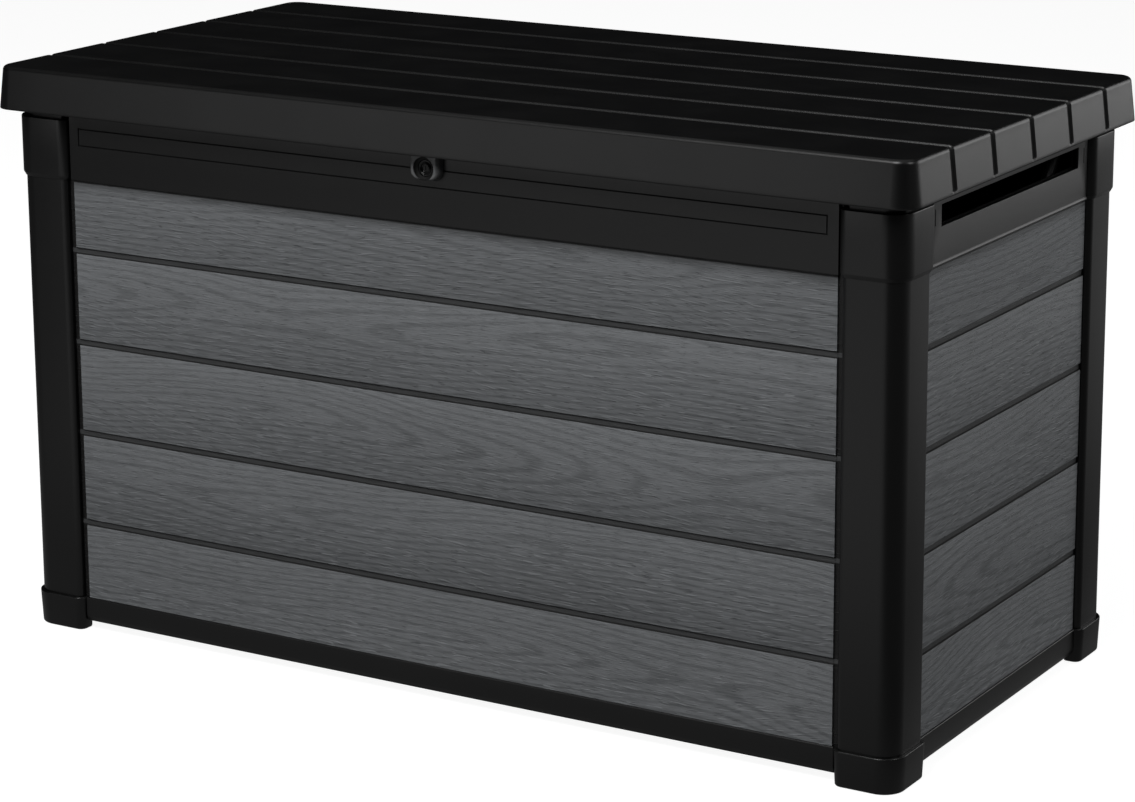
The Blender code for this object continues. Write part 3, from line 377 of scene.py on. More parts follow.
def slat_gap_shade_mask(finish, x, y, z):
    """1 where shade is painted: in the gaps between slats where they run down the lid's ends, and as a
    painted shadow line along the hem's lower edge.
    """
    to_gap = finish.math("ABSOLUTE", finish.math("WRAP", y, SLAT_PITCH / 2, -SLAT_PITCH / 2))
    mask = finish.remap(to_gap, SLAT_GAP_HALF - 0.0016, SLAT_GAP_HALF - 0.0004, 1.0, 0.0)
    mask = mask * finish.remap(z, LID_TOP - 0.006, LID_TOP - 0.003, 1.0, 0.0)
    mask = mask * finish.math("GREATER_THAN", z, LID_BOTTOM + SLAT_STOP)
    mask = mask * finish.math("GREATER_THAN", finish.math("ABSOLUTE", x), LID_HALF_LENGTH - 0.02)
    mask = mask * finish.math("LESS_THAN", finish.math("ABSOLUTE", y), SLAT_PITCH * (SLAT_COUNT - 1) / 2)
    # Painted shadow line along the lid's hem
    hem = finish.math("LESS_THAN", z, LID_BOTTOM + 0.0016)
    return finish.math("MAXIMUM", mask, hem)


def engraving_shade_mask(finish, x, y, z):
    """1 where shade is painted: in the thin line round the front rail's frame, and as a painted shadow in the
    band of the rail just under the lid.
    """
    half = LINE_WIDTH * 0.55
    reach = finish.math("ABSOLUTE", x)
    level = between(finish, z, FRONT_FRAME_LOW - half, FRONT_FRAME_LOW + half)
    level = level + between(finish, z, FRONT_FRAME_HIGH - half, FRONT_FRAME_HIGH + half)
    level = level * finish.math("LESS_THAN", reach, FRONT_FRAME_HALF + half)
    upright = between(finish, reach, FRONT_FRAME_HALF - half, FRONT_FRAME_HALF + half)
    upright = upright * between(finish, z, FRONT_FRAME_LOW, FRONT_FRAME_HIGH)
    front = between(finish, y, FRONT_RAIL_Y + 0.0001, -(HALF_DEPTH - RAIL_BACK))
    # Painted shadow: a near black band of the rail just under the lid's hem
    lid_shadow_band = finish.remap(z, LID_BOTTOM - 0.0104, LID_BOTTOM - 0.0094)
    return finish.math("MINIMUM", level + upright + lid_shadow_band, 1.0) * front


def board_grain(finish, along, z, face):
    """The moulded grain of a wall of boards: rings cut flat, fibres along them, strands, pores and clouds.

    Every board has a stretch of grain of its own, picked by its row and by face.
    """
    row = finish.math("FLOOR", (z - FIRST_GROOVE) / BOARD_PITCH)
    up = z - (row + 0.5) * BOARD_PITCH - FIRST_GROOVE
    pick = {"W": row * 3.1 + face}
    shuffle = finish.node("ShaderNodeTexWhiteNoise", {"noise_dimensions": "1D"}, pick, "Color")
    first, second, third = finish.parts(shuffle)
    start = along + first * 40.0
    wander = finish.noise(finish.join(start, row, face), 1.3, 2.0, 0.45)
    drift = finish.noise(finish.join(start * 0.8 + 11.0, row, face), 1.0, 1.5, 0.5)
    ripple = finish.noise(finish.join(start * 9.0, z * 26.0, face), 1.0, 2.0, 0.5)
    heart = up - (wander - 0.5) * 0.13 - (second - 0.5) * 0.05
    cut = (drift - 0.42) * 0.22 + (third - 0.5) * 0.02
    ring = finish.math("SQRT", heart * heart + cut * cut + 0.00004) + (ripple - 0.5) * 0.004
    late = finish.remap(finish.math("SINE", ring * 2 * math.pi * RINGS_PER_METRE), 0.0, 1.0)
    across = ring * 0.4 + z * 0.8
    fibre = finish.noise(finish.join(start * 24.0, across * 620.0, row * 5.0), 1.0, 3.0, 0.62)
    strand = finish.noise(finish.join(start * 34.0, across * 760.0, row * 3.0), 1.0, 1.0, 0.5)
    short = finish.noise(finish.join(start * 46.0, across * 1150.0, row * 7.0), 1.0, 2.0, 0.55)
    raised = finish.remap(strand, 0.58, 0.70)
    pores = finish.remap(short, 0.60, 0.70)
    cloud = finish.noise(finish.join(start * 3.0, z * 9.0, face), 1.0, 3.0, 0.55)
    return late, fibre, raised, pores, cloud, first


def wood_board_resin(name, along_axis, seed):
    """Grey resin boards with moulded wood grain. Shade is painted in: darker towards the bottom, a shadow
    under the rail, near black beside the columns and in the gaps between boards; the end walls are painted
    lighter than the long walls.
    """
    finish = Finish(bpy.data.materials.new(name))
    x, y, z = finish.parts(finish.position())
    long_side = along_axis == "X"
    along, depth = (x, y) if long_side else (y, x)
    face = finish.math("GREATER_THAN", depth, 0.0) * 13.7 + seed
    late, fibre, raised, pores, cloud, first = board_grain(finish, along, z, face)

    # Painted shade: the boards get darker towards the bottom
    painted_low_shade = finish.remap(z, 0.05, 0.66, 0.40, 0.18)
    shade = painted_low_shade + (fibre - 0.5) * 1.6 + late * 0.34 + pores * 0.95 - raised * 0.85 + (cloud - 0.5) * 0.45
    # Painted light: the end walls are painted lighter than the long walls
    wall_painted_light = LONG_WALL_PAINTED_LIGHT if long_side else END_WALL_PAINTED_LIGHT
    pale, dark = grey(BOARD_PALE * wall_painted_light, 0.042), grey(BOARD_DARK * wall_painted_light, 0.048)
    tone = finish.blend(shade + (first - 0.5) * 0.08, pale, dark)
    shadow = finish.remap(z, TOP_RAIL_BOTTOM - 0.020, TOP_RAIL_BOTTOM, 0.0, 0.62)
    tone = finish.blend(shadow, tone, grey(0.020))
    # Painted shade: a near black line just under the rail and near black strips at the boards' ends beside
    # the columns
    under_rail_shadow = finish.remap(z, TOP_RAIL_BOTTOM - 0.0040, TOP_RAIL_BOTTOM - 0.0022)
    clear = half_span("front") - END_GAP if long_side else half_span("left") - END_GAP * END_WALL_GAP_SHARE
    column_gap_shade = finish.math("GREATER_THAN", finish.math("ABSOLUTE", along), clear)
    tone = finish.blend(finish.math("MAXIMUM", under_rail_shadow, column_gap_shade), tone, grey(0.0010))

    # Painted shade in the gaps between boards: a darker floor and near black walls
    gap_place = finish.math("WRAP", z - FIRST_GROOVE, BOARD_PITCH / 2, -BOARD_PITCH / 2)
    to_gap = finish.math("ABSOLUTE", gap_place)
    among_boards = finish.math("LESS_THAN", z, FIRST_GROOVE + (GROOVE_COUNT - 0.5) * BOARD_PITCH)
    outer_face = (HALF_DEPTH if long_side else HALF_LENGTH) - PANEL_BACK + 0.001
    outside = finish.math("GREATER_THAN", finish.math("ABSOLUTE", depth), outer_face)
    gap = finish.remap(to_gap, GROOVE_HALF - 0.0002, GROOVE_HALF + 0.0001, 1.0, 0.0) * among_boards * outside
    wall = finish.remap(to_gap, GROOVE_FLOOR_HALF - 0.0007, GROOVE_FLOOR_HALF - 0.0001)
    tone = finish.blend(gap, tone, finish.blend(wall, grey(0.056, 0.03), grey(0.004)))

    gloss = 0.55 + fibre * 0.12 + pores * 0.08 - raised * 0.06 + (cloud - 0.5) * 0.08 + gap * wall * 0.2
    coarse = finish.relief((1.0 - late) * 0.5, 0.22, 0.0008)
    fine = finish.relief(raised * 0.9 + fibre * 0.5 - pores * 0.7, 0.62, 0.0006, coarse)
    return finish.set(Base_Color=tone, Roughness=gloss, Normal=fine, IOR=1.46)


def plated_steel(name):
    """Zinc-plated steel: pale grey with a brushed grain, faint plating cells and dull handling marks."""
    finish = Finish(bpy.data.materials.new(name))
    place = finish.position()
    brushed = finish.noise(finish.stretch(place, (60.0, 4.0, 60.0)), 18.0, 4.0, 0.6)
    plating = finish.cells(place, 260, output="Color")
    cell = finish.parts(plating)[0]
    dull = finish.noise(place, 45.0, 3.0, 0.6)
    tone = finish.blend(cell * 0.5 + brushed * 0.4, (0.44, 0.45, 0.46, 1.0), (0.66, 0.67, 0.68, 1.0))
    tone = finish.blend(finish.remap(dull, 0.55, 0.75) * 0.35, tone, (0.33, 0.33, 0.32, 1.0))
    gloss = 0.26 + brushed * 0.14 + dull * 0.12
    return finish.set(
        Base_Color=tone,
        Roughness=gloss,
        Metallic=1.0,
        Normal=finish.relief(brushed + cell * 0.2, 0.12, 0.0003),
    )


def polished_resin(name):
    """Glossy black resin with fine wiping marks and a few specks of dust."""
    finish = Finish(bpy.data.materials.new(name))
    place = finish.position()
    wiped = finish.noise(finish.stretch(place, (240.0, 60.0, 30.0)), 3.0, 3.0, 0.6)
    specks = finish.remap(finish.cells(place, 520), 0.0, 0.10, 1.0, 0.0)
    soft = finish.noise(place, 120.0, 2.0, 0.5)
    tone = finish.blend(specks * 0.10, grey(0.006), grey(0.10))
    gloss = 0.15 + wiped * 0.10 + specks * 0.25 + soft * 0.05
    return finish.set(
        Base_Color=tone, Roughness=gloss, Normal=finish.relief(soft + wiped * 0.3, 0.06, 0.0004), IOR=1.5
    )


def pale_floor(name):
    """A matt pale studio floor, pale to the camera. It hardly lights the box; two patches of it glow only in
    the box's reflections, as painted reflections.
    """
    finish = Finish(bpy.data.materials.new(name))
    place = finish.position()
    x, y, z = finish.parts(place)
    worn = finish.noise(place, 3.0, 4.0, 0.55)
    fine = finish.noise(place, 90.0, 3.0, 0.6)
    tone = finish.blend(worn * 0.6 + fine * 0.2, grey(0.30, 0.002), grey(0.26, 0.004))
    seen = finish.node("ShaderNodeLightPath", output="Is Camera Ray")
    mirrored = finish.node("ShaderNodeLightPath", output="Is Glossy Ray")
    before_front = finish.remap(y, -1.5, -0.6, 1.0, 0.4) * finish.remap(x, 0.5, 1.1, 1.0, 0.0)
    before_front = before_front * finish.remap(x, -2.8, -0.2, 0.15, 1.0)
    beyond_end = finish.remap(x, 0.8, 1.3, 0.2, 1.0) * finish.remap(y, -0.2, 2.6, 0.25, 1.0)
    # Painted reflections: two patches that glow only in mirrored rays
    painted_reflection_glow = mirrored * (before_front * 0.43 + beyond_end * 0.21)
    return finish.set(
        Base_Color=finish.blend(seen, grey(0.05), tone),
        Roughness=0.9,
        Specular_IOR_Level=0.1,
        Emission_Color=finish.blend(seen, painted_reflection_glow, grey(0.92)),
        Emission_Strength=1.0,
        Normal=finish.relief(fine, 0.05, 0.001),
    )


# Outlines


def filleted(corners):
    """The closed outline through (x, y, radius, steps) corners, each a right angle rounded to its radius."""
    points = []
    count = len(corners)
    for index, (x, y, radius, steps) in enumerate(corners):
        corner = Vector((x, y))
        before = (Vector(corners[index - 1][:2]) - corner).normalized()
        after = (Vector(corners[(index + 1) % count][:2]) - corner).normalized()
        if steps == 0:
            points.append(corner)
            continue
        centre = corner + (before + after) * radius
        for step in range(steps + 1):
            turn = math.radians(90 * step / steps)
            points.append(centre - after * (radius * math.cos(turn)) - before * (radius * math.sin(turn)))
    return points


def column_outline(sign_x, sign_y, grow):
    """A corner column's L-shaped plan, grown outwards by grow, at the corner that the signs name."""
    wide = COLUMN_WIDTH + grow
    deep = COLUMN_DEPTH + grow
    thick = COLUMN_THICKNESS + grow
    inner = 0.0015 + max(grow, 0)
    corners = [
        (-grow, -grow, COLUMN_CORNER_RADIUS + grow, 16),
        (wide, -grow, COLUMN_EDGE_RADIUS + grow, 8),
        (wide, thick, inner, 4),
        (thick, thick, 0.0015, 4),
        (thick, deep, inner, 4),
        (-grow, deep, COLUMN_EDGE_RADIUS + grow, 8),
    ]
    return [
        Vector((sign_x * (HALF_LENGTH - point.x), sign_y * (HALF_DEPTH - point.y)))
        for point in filleted(corners)
    ]


def round_over(radius, steps):
    """(pull in, rise) offsets over a quarter circle that starts upright and ends level."""
    turns = [math.radians(90 * step / steps) for step in range(steps + 1)]
    return [(radius * (1 - math.cos(turn)), radius * math.sin(turn)) for turn in turns]


def circle(radius, steps):
    """The corners of a round outline."""
    turns = [2 * math.pi * step / steps for step in range(steps)]
    return [Vector((radius * math.cos(turn), radius * math.sin(turn))) for turn in turns]


# Solids


def mesh_piece(name, shape, material, sharp=35):
    """A piece from a finished bmesh, smooth across every edge flatter than sharp degrees."""
    bmesh.ops.recalc_face_normals(shape, faces=shape.faces)
    mesh = bpy.data.meshes.new(name)
    shape.to_mesh(mesh)
    shape.free()
    mesh.shade_smooth()
    mesh.set_sharp_from_angle(angle=math.radians(sharp))
    mesh.materials.append(material)
    piece = bpy.data.objects.new(name, mesh)
    bpy.context.scene.collection.objects.link(piece)
    return piece


def skin(shape, loops):
    """Quads from each closed loop to the next, all of equal point counts."""
    for low, high in zip(loops, loops[1:]):
        for index in range(len(low)):
            following = (index + 1) % len(low)
            shape.faces.new((low[index], low[following], high[following], high[index]))


def solid(name, rings, material, looped=False, sharp=35):
    """Joins rings of equal point counts into one closed skin, capped at both ends unless it is looped."""
    shape = bmesh.new()
    loops = [[shape.verts.new(point) for point in ring] for ring in rings]
    if not looped:
        shape.faces.new(loops[0])
        shape.faces.new(loops[-1])
    skin(shape, [*loops, loops[0]] if looped else loops)
    return mesh_piece(name, shape, material, sharp)


def stacked(name, levels, material, looped=False):
    """A solid from (plan outline, height) levels."""
    rings = [[Vector((point.x, point.y, height)) for point in outline] for outline, height in levels]
    return solid(name, rings, material, looped)


def turned(name, stations, place, direction, material, steps):
    """A round piece from (distance along its axis, radius) stations."""
    rings = [[Vector((p.x, p.y, along)) for p in circle(radius, steps)] for along, radius in stations]
    piece = solid(name, rings, material)
    turn = Vector(direction).to_track_quat("Z", "Y").to_matrix().to_4x4()
    piece.data.transform(Matrix.Translation(place) @ turn)
    return piece


def block(name, low, high, material, round_edge=0.0):
    """A box between two corners, with rounded edges if round_edge is given."""
    shape = bmesh.new()
    bmesh.ops.create_cube(shape, size=1.0)
    size = Vector(high) - Vector(low)
    middle = (Vector(high) + Vector(low)) / 2
    bmesh.ops.scale(shape, vec=size, verts=shape.verts)
    bmesh.ops.translate(shape, vec=middle, verts=shape.verts)
    if round_edge:
        edges = list(shape.edges)
        bmesh.ops.bevel(shape, geom=edges, offset=round_edge, segments=3, profile=0.5, affect="EDGES")
    return mesh_piece(name, shape, material)


def shaped(piece, tool, sharp=35):
    """Cuts a tool's shape out of a piece. The tool is thrown away."""
    change = piece.modifiers.new("shape", "BOOLEAN")
    change.operation = "DIFFERENCE"
    change.solver = "EXACT"
    change.object = tool
    bpy.context.view_layer.update()
    result = bpy.data.meshes.new_from_object(piece.evaluated_get(bpy.context.evaluated_depsgraph_get()))
    piece.modifiers.clear()
    old = piece.data
    piece.data = result
    bpy.data.meshes.remove(old)
    result.shade_smooth()
    result.set_sharp_from_angle(angle=math.radians(sharp))
    bpy.data.objects.remove(tool, do_unlink=True)


def fit(piece, body, node):
    """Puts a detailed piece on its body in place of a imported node."""
    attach(piece, body)
    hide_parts(node)


def side_point(side, along, across, height):
    """The point of a side at these distances: along it, in from the columns' faces, and up."""
    if side == "front":
        return Vector((along, -(HALF_DEPTH - across), height))
    if side == "back":
        return Vector((along, HALF_DEPTH - across, height))
    if side == "left":
        return Vector((-(HALF_LENGTH - across), along, height))
    return Vector((HALF_LENGTH - across, along, height))


def half_span(side):
    """Half the clear length between the two columns of a side."""
    if side in ("front", "back"):
        return HALF_LENGTH - COLUMN_WIDTH
    return HALF_DEPTH - COLUMN_DEPTH


def side_solid(name, side, span, profile, material, sharp=35):
    """A side's solid of one (across, height) section, between two places along it."""
    rings = [[side_point(side, along, across, up) for across, up in profile] for along in span]
    return solid(name, rings, material, sharp=sharp)


def eased(profile_corners):
    """A section through (across, height, radius) corners, with each corner eased to its radius."""
    return [(p.x, p.y) for p in filleted([(x, y, r, 5 if r else 0) for x, y, r in profile_corners])]


# Body


def make_boards(finishes):
    """The four walls of moulded boards, with soft-edged gaps between neighbours."""
    for side in SIDES:
        profile = [(PANEL_BACK, PANEL_TOP)]
        for index in reversed(range(GROOVE_COUNT)):
            middle = FIRST_GROOVE + index * BOARD_PITCH
            profile += [(PANEL_BACK - sink, middle + rise) for sink, rise in SCORED_LINE]
            profile += [(PANEL_BACK - sink, middle - rise) for sink, rise in reversed(SCORED_LINE)]
        profile += [(PANEL_BACK, PANEL_BOTTOM), (PANEL_INSET, PANEL_BOTTOM)]
        floor = PANEL_INSET + GROOVE_SINK
        shoulder = [
            (PANEL_INSET, GROOVE_HALF + 0.0005),
            (PANEL_INSET + 0.0001, GROOVE_HALF + 0.0002),
            (PANEL_INSET + 0.0003, GROOVE_HALF),
            (floor - 0.0003, GROOVE_FLOOR_HALF + 0.0003),
            (floor, GROOVE_FLOOR_HALF),
        ]
        for index in range(GROOVE_COUNT):
            middle = FIRST_GROOVE + index * BOARD_PITCH
            profile += [(across, middle - rise) for across, rise in shoulder]
            profile += [(across, middle + rise) for across, rise in reversed(shoulder)]
        profile.append((PANEL_INSET, PANEL_TOP))
        clear = half_span(side)
        reach = clear + PANEL_TONGUE
        piece = side_solid(f"{side}_boards", side, (-reach, reach), profile, finishes[side], sharp=50)
        gap = END_GAP if side in ("front", "back") else END_GAP * END_WALL_GAP_SHARE
        sunk = (PANEL_INSET - CUT_PAST, PANEL_INSET + END_GAP_SINK)
        tall = (PANEL_BOTTOM - CUT_PAST, PANEL_TOP + CUT_PAST)
        for end in (-1, 1):
            span = sorted((end * (clear - gap), end * (clear + 0.0004)))
            shaped(piece, side_box(side, span, sunk, tall, finishes[side]))
        fit(piece, "box", f"{side}_panel")


def make_corners(resin):
    """The four hollow corner columns, each with a collar round its top and a foot round its bottom."""
    for corner, (sign_x, sign_y) in CORNERS.items():

        def plan(grow):
            return column_outline(sign_x, sign_y, grow)

        low = FOOT_FLOOR + FIT_GAP
        high = COLLAR_TOP - COLLAR_CAP - FIT_GAP
        tube = [(plan(0), low), (plan(0), high), (plan(-COLUMN_WALL), high), (plan(-COLUMN_WALL), low)]
        column = stacked(f"corner_column_{corner}", tube, resin["column"], looped=True)

        levels = [
            (plan(FIT_GAP), COLLAR_TOP - COLLAR_CAP),
            (plan(FIT_GAP), TOP_RAIL_BOTTOM),
            (plan(0.0010), TOP_RAIL_BOTTOM),
            (plan(0.0014), TOP_RAIL_BOTTOM + 0.0002),
            (plan(0.0017), TOP_RAIL_BOTTOM + 0.0007),
            (plan(COLLAR_PROUD - 0.0007), TOP_RAIL_BOTTOM + COLLAR_CHAMFER - 0.0010),
            (plan(COLLAR_PROUD - 0.0002), TOP_RAIL_BOTTOM + COLLAR_CHAMFER),
            (plan(COLLAR_PROUD), TOP_RAIL_BOTTOM + COLLAR_CHAMFER + 0.0012),
        ]
        for pull, rise in round_over(COLLAR_ROUND, 5):
            levels.append((plan(COLLAR_PROUD - pull), COLLAR_TOP - COLLAR_ROUND + rise))
        levels.append((plan(-RAIL_INSET), COLLAR_TOP))
        for pull, rise in round_over(NECK_ROUND, 4):
            levels.append((plan(-RAIL_INSET - pull), RIM_TOP - NECK_ROUND + rise))
        collar = stacked(f"corner_collar_{corner}", levels, resin["collar"])

        levels = [(plan(FIT_GAP), FOOT_FLOOR), (plan(FIT_GAP), FOOT_HEIGHT)]
        for pull, rise in reversed(round_over(FOOT_ROUND, 5)):
            levels.append((plan(FOOT_PROUD - pull), FOOT_HEIGHT - FOOT_ROUND + rise))
        for pull, drop in round_over(SOLE_ROUND, 5):
            levels.append((plan(FOOT_PROUD - FOOT_TAPER - pull), SOLE_ROUND - drop))
        foot = stacked(f"corner_foot_{corner}", levels, resin["foot"])

        for piece, node in ((column, "column"), (collar, "collar"), (foot, "foot")):
            fit(piece, "box", f"{node}_{corner}")


def top_rail_profile(lipped):
    """The upper rail's section; on the ends its lower edge flares into a thin lip."""
    inner = RAIL_INSET + RAIL_WALL
    back = RAIL_BACK - RAIL_WALL
    section = eased(
        [
            (RAIL_INSET, TOP_RAIL_BOTTOM, 0 if lipped else 0.0016),
            (RAIL_INSET, RIM_TOP, 0.0018),
            (RAIL_BACK, RIM_TOP, 0.0018),
            (RAIL_BACK, TOP_RAIL_BOTTOM, 0.0008),
            (back, TOP_RAIL_BOTTOM, 0),
            (back, RIM_TOP - 0.004, 0.0008),
            (inner, RIM_TOP - 0.004, 0.0008),
            (inner, TOP_RAIL_BOTTOM, 0),
        ]
    )
    if lipped:
        lip = [(0.0006, 0.0), (-0.0002, 0.0002), (-0.0007, 0.0008), (-0.0009, 0.0016), (-0.0007, 0.0024)]
        lip += [(-0.0002, 0.0044), (0.0, 0.0058)]
        section[:1] = [(RAIL_INSET + out, TOP_RAIL_BOTTOM + rise) for out, rise in lip]
    return section


def bottom_rail_profile():
    """The lower rail's section, with a small step near the ground."""
    inner = RAIL_INSET + RAIL_WALL
    back = RAIL_BACK - RAIL_WALL
    lip = eased(
        [
            (RAIL_INSET, FOOT_HEIGHT, 0.0016),
            (inner, FOOT_HEIGHT, 0.0004),
            (inner, 0.018, 0),
            (back, 0.018, 0),
            (back, 0.040, 0),
            (RAIL_BACK, 0.040, 0.0008),
            (RAIL_BACK, BOTTOM_RAIL_BASE, 0.0008),
            (RAIL_INSET, BOTTOM_RAIL_BASE, 0),
        ]
    )
    lip.pop()
    lip += [(RAIL_INSET + 0.0032, BOTTOM_RAIL_BASE), (RAIL_INSET + 0.0025, BOTTOM_RAIL_BASE + 0.0004)]
    lip += [(RAIL_INSET + 0.0004, BOTTOM_RAIL_BASE + 0.0066), (RAIL_INSET, BOTTOM_RAIL_BASE + 0.0080)]
    return lip


def side_box(side, span, across, height, material):
    """A cutting tool: the box between two places along a side, two across it and two heights."""
    profile = [(across[0], height[0]), (across[1], height[0]), (across[1], height[1]), (across[0], height[1])]
    return side_solid("tool", side, span, profile, material)


def engraved_loop(side, low, high, material):
    """A tool for a thin closed line round the rectangle between two (along, height) corners."""

    def loop(grow, across):
        ends = [(low[0] - grow, low[1] - grow), (high[0] + grow, low[1] - grow)]
        ends += [(high[0] + grow, high[1] + grow), (low[0] - grow, high[1] + grow)]
        return [side_point(side, along, across, height) for along, height in ends]

    half = LINE_WIDTH / 2
    shallow = RAIL_INSET - LINE_WIDTH
    deep = RAIL_INSET + LINE_SINK
    rings = [loop(-half, shallow), loop(half, shallow), loop(half * 0.8, deep), loop(-half * 0.8, deep)]
    return solid("tool", rings, material, looped=True)


def slot_tool(side, material):
    """A tool for a hand-hold slot whose edges are eased on both faces of the rail."""
    ease = 0.0005
    rings = []
    for across, grow in (
        (RAIL_INSET - 0.003, ease + 0.003),
        (RAIL_INSET, ease),
        (RAIL_INSET + ease * 0.3, ease * 0.3),
        (RAIL_INSET + ease, 0.0),
        (RAIL_BACK - ease, 0.0),
        (RAIL_BACK - ease * 0.3, ease * 0.3),
        (RAIL_BACK, ease),
        (RAIL_BACK + 0.003, ease + 0.003),
    ):
        ends = [(-SLOT_HALF - grow, SLOT_LOW - grow), (SLOT_HALF + grow, SLOT_LOW - grow)]
        ends += [(SLOT_HALF + grow, SLOT_HIGH + grow), (-SLOT_HALF - grow, SLOT_HIGH + grow)]
        rings.append([side_point(side, along, across, height) for along, height in ends])
    return solid("tool", rings, material)


def make_rails(resin):
    """The upper rails, with the front's engraved frame and the ends' hand-hold slots, and the lower rails."""
    for side in SIDES:
        at_end = side in ("left", "right")
        reach = half_span(side) - COLLAR_PROUD - COLLAR_CLEARANCE
        finish = resin["front_rail" if side == "front" else "rail"]
        top = side_solid(f"upper_rail_{side}", side, (-reach, reach), top_rail_profile(at_end), finish)
        if side == "front":
            low = (-FRONT_FRAME_HALF, FRONT_FRAME_LOW)
            shaped(top, engraved_loop(side, low, (FRONT_FRAME_HALF, FRONT_FRAME_HIGH), resin["rail"]))
        if at_end:
            shaped(top, slot_tool(side, resin["rail"]))
            for end in (-1, 1):
                middle = end * (SLOT_HALF + SLOT_LINE_OFFSET)
                span = (middle - LINE_WIDTH / 2, middle + LINE_WIDTH / 2)
                sunk = (RAIL_INSET - LINE_WIDTH, RAIL_INSET + LINE_SINK)
                shaped(top, side_box(side, span, sunk, (SLOT_LINE_LOW, FRONT_FRAME_HIGH), resin["rail"]))
        reach = half_span(side) - FOOT_PROUD - FIT_GAP
        bottom = side_solid(f"lower_rail_{side}", side, (-reach, reach), bottom_rail_profile(), resin["rail"])
        fit(top, "box", f"top_rail_{side}")
        fit(bottom, "box", f"bottom_rail_{side}")


# Lid


def slat_gap_depth(y):
    """How deep the lid's surface lies below the slats at y: round-shouldered gaps with flat floors."""
    depth = 0.0
    for index in range(SLAT_COUNT - 1):
        middle = (index - (SLAT_COUNT - 2) / 2) * SLAT_PITCH
        distance = abs(y - middle)
        if distance < SLAT_GAP_HALF:
            share = (SLAT_GAP_HALF - distance) / (SLAT_GAP_HALF - SLAT_GAP_FLOOR_HALF)
            share = min(1.0, share)
            depth = SLAT_SINK * share * share * (3 - 2 * share)
    return depth


def lid_stations():
    """The places in y across the straight part of the lid's ends, dense at the gaps between slats."""
    reach = LID_HALF_DEPTH - LID_CORNER_RADIUS
    stations = {-reach, reach}
    for index in range(SLAT_COUNT - 1):
        middle = (index - (SLAT_COUNT - 2) / 2) * SLAT_PITCH
        for step in range(-9, 10):
            stations.add(round(middle + step * SLAT_GAP_HALF / 8, 6))
        for offset in (-0.045, -0.03, -0.015, 0.015, 0.03, 0.045):
            stations.add(round(middle + offset, 6))
    return sorted(station for station in stations if abs(station) <= reach)


def lid_rim():
    """The lid's plan at its hem, counter-clockwise, as (base, outward direction, has slat gaps) entries.

    A point of the skin lies at its base plus the outward direction times the reach. Also gives the counts of
    columns along the long sides, of steps round a corner and of places across the ends.
    """
    rim = []
    reach_x = LID_HALF_LENGTH - LID_CORNER_RADIUS
    reach_y = LID_HALF_DEPTH - LID_CORNER_RADIUS
    steps = 14
    columns = 24

    def add(x, y, outward, slatted):
        rim.append((Vector((x, y)), Vector(outward), slatted))

    def corner(sign_x, sign_y, start):
        for step in range(1, steps):
            turn = math.radians(start + 90 * step / steps)
            add(sign_x * reach_x, sign_y * reach_y, (math.cos(turn), math.sin(turn)), False)

    stations = lid_stations()
    for step in range(columns + 1):
        add(-reach_x + 2 * reach_x * step / columns, -reach_y, (0, -1), False)
    corner(1, -1, -90)
    for y in stations:
        add(reach_x, y, (1, 0), True)
    corner(1, 1, 0)
    for step in range(columns + 1):
        add(reach_x - 2 * reach_x * step / columns, reach_y, (0, 1), False)
    corner(-1, 1, 90)
    for y in reversed(stations):
        add(-reach_x, y, (-1, 0), True)
    corner(-1, -1, 180)
    return rim, columns, steps, len(stations)


def lid_outer_levels(wall_top):
    """The lid's skin from its hem up and over its upper edge, as (pull, height, sunk, upright) levels.

    Sunk is the share of the slat gaps' depth that a level takes, and upright is 1 on the wall and 0 on top.
    """
    levels = [(-LID_HEM_ROUND, LID_BOTTOM, 0.0, 1.0)]
    for pull, rise in round_over(LID_HEM_ROUND, 3)[1:]:
        levels.append((-(LID_HEM_ROUND - rise), LID_BOTTOM + pull, 0.0, 1.0))
    stop = LID_BOTTOM + SLAT_STOP
    for rise, sunk in ((-0.0008, 0.0), (0.0, 0.5), (0.0010, 0.92), (0.0022, 1.0)):
        levels.append((0.0, stop + rise, sunk, 1.0))
    for share in (0.35, 0.6, 0.85):
        levels.append((0.0, LID_BOTTOM + share * (wall_top - LID_BOTTOM), 1.0, 1.0))
    for pull, rise in round_over(LID_EDGE_RADIUS, 10):
        levels.append((-pull, wall_top + rise, 1.0, 1 - pull / LID_EDGE_RADIUS))
    return levels


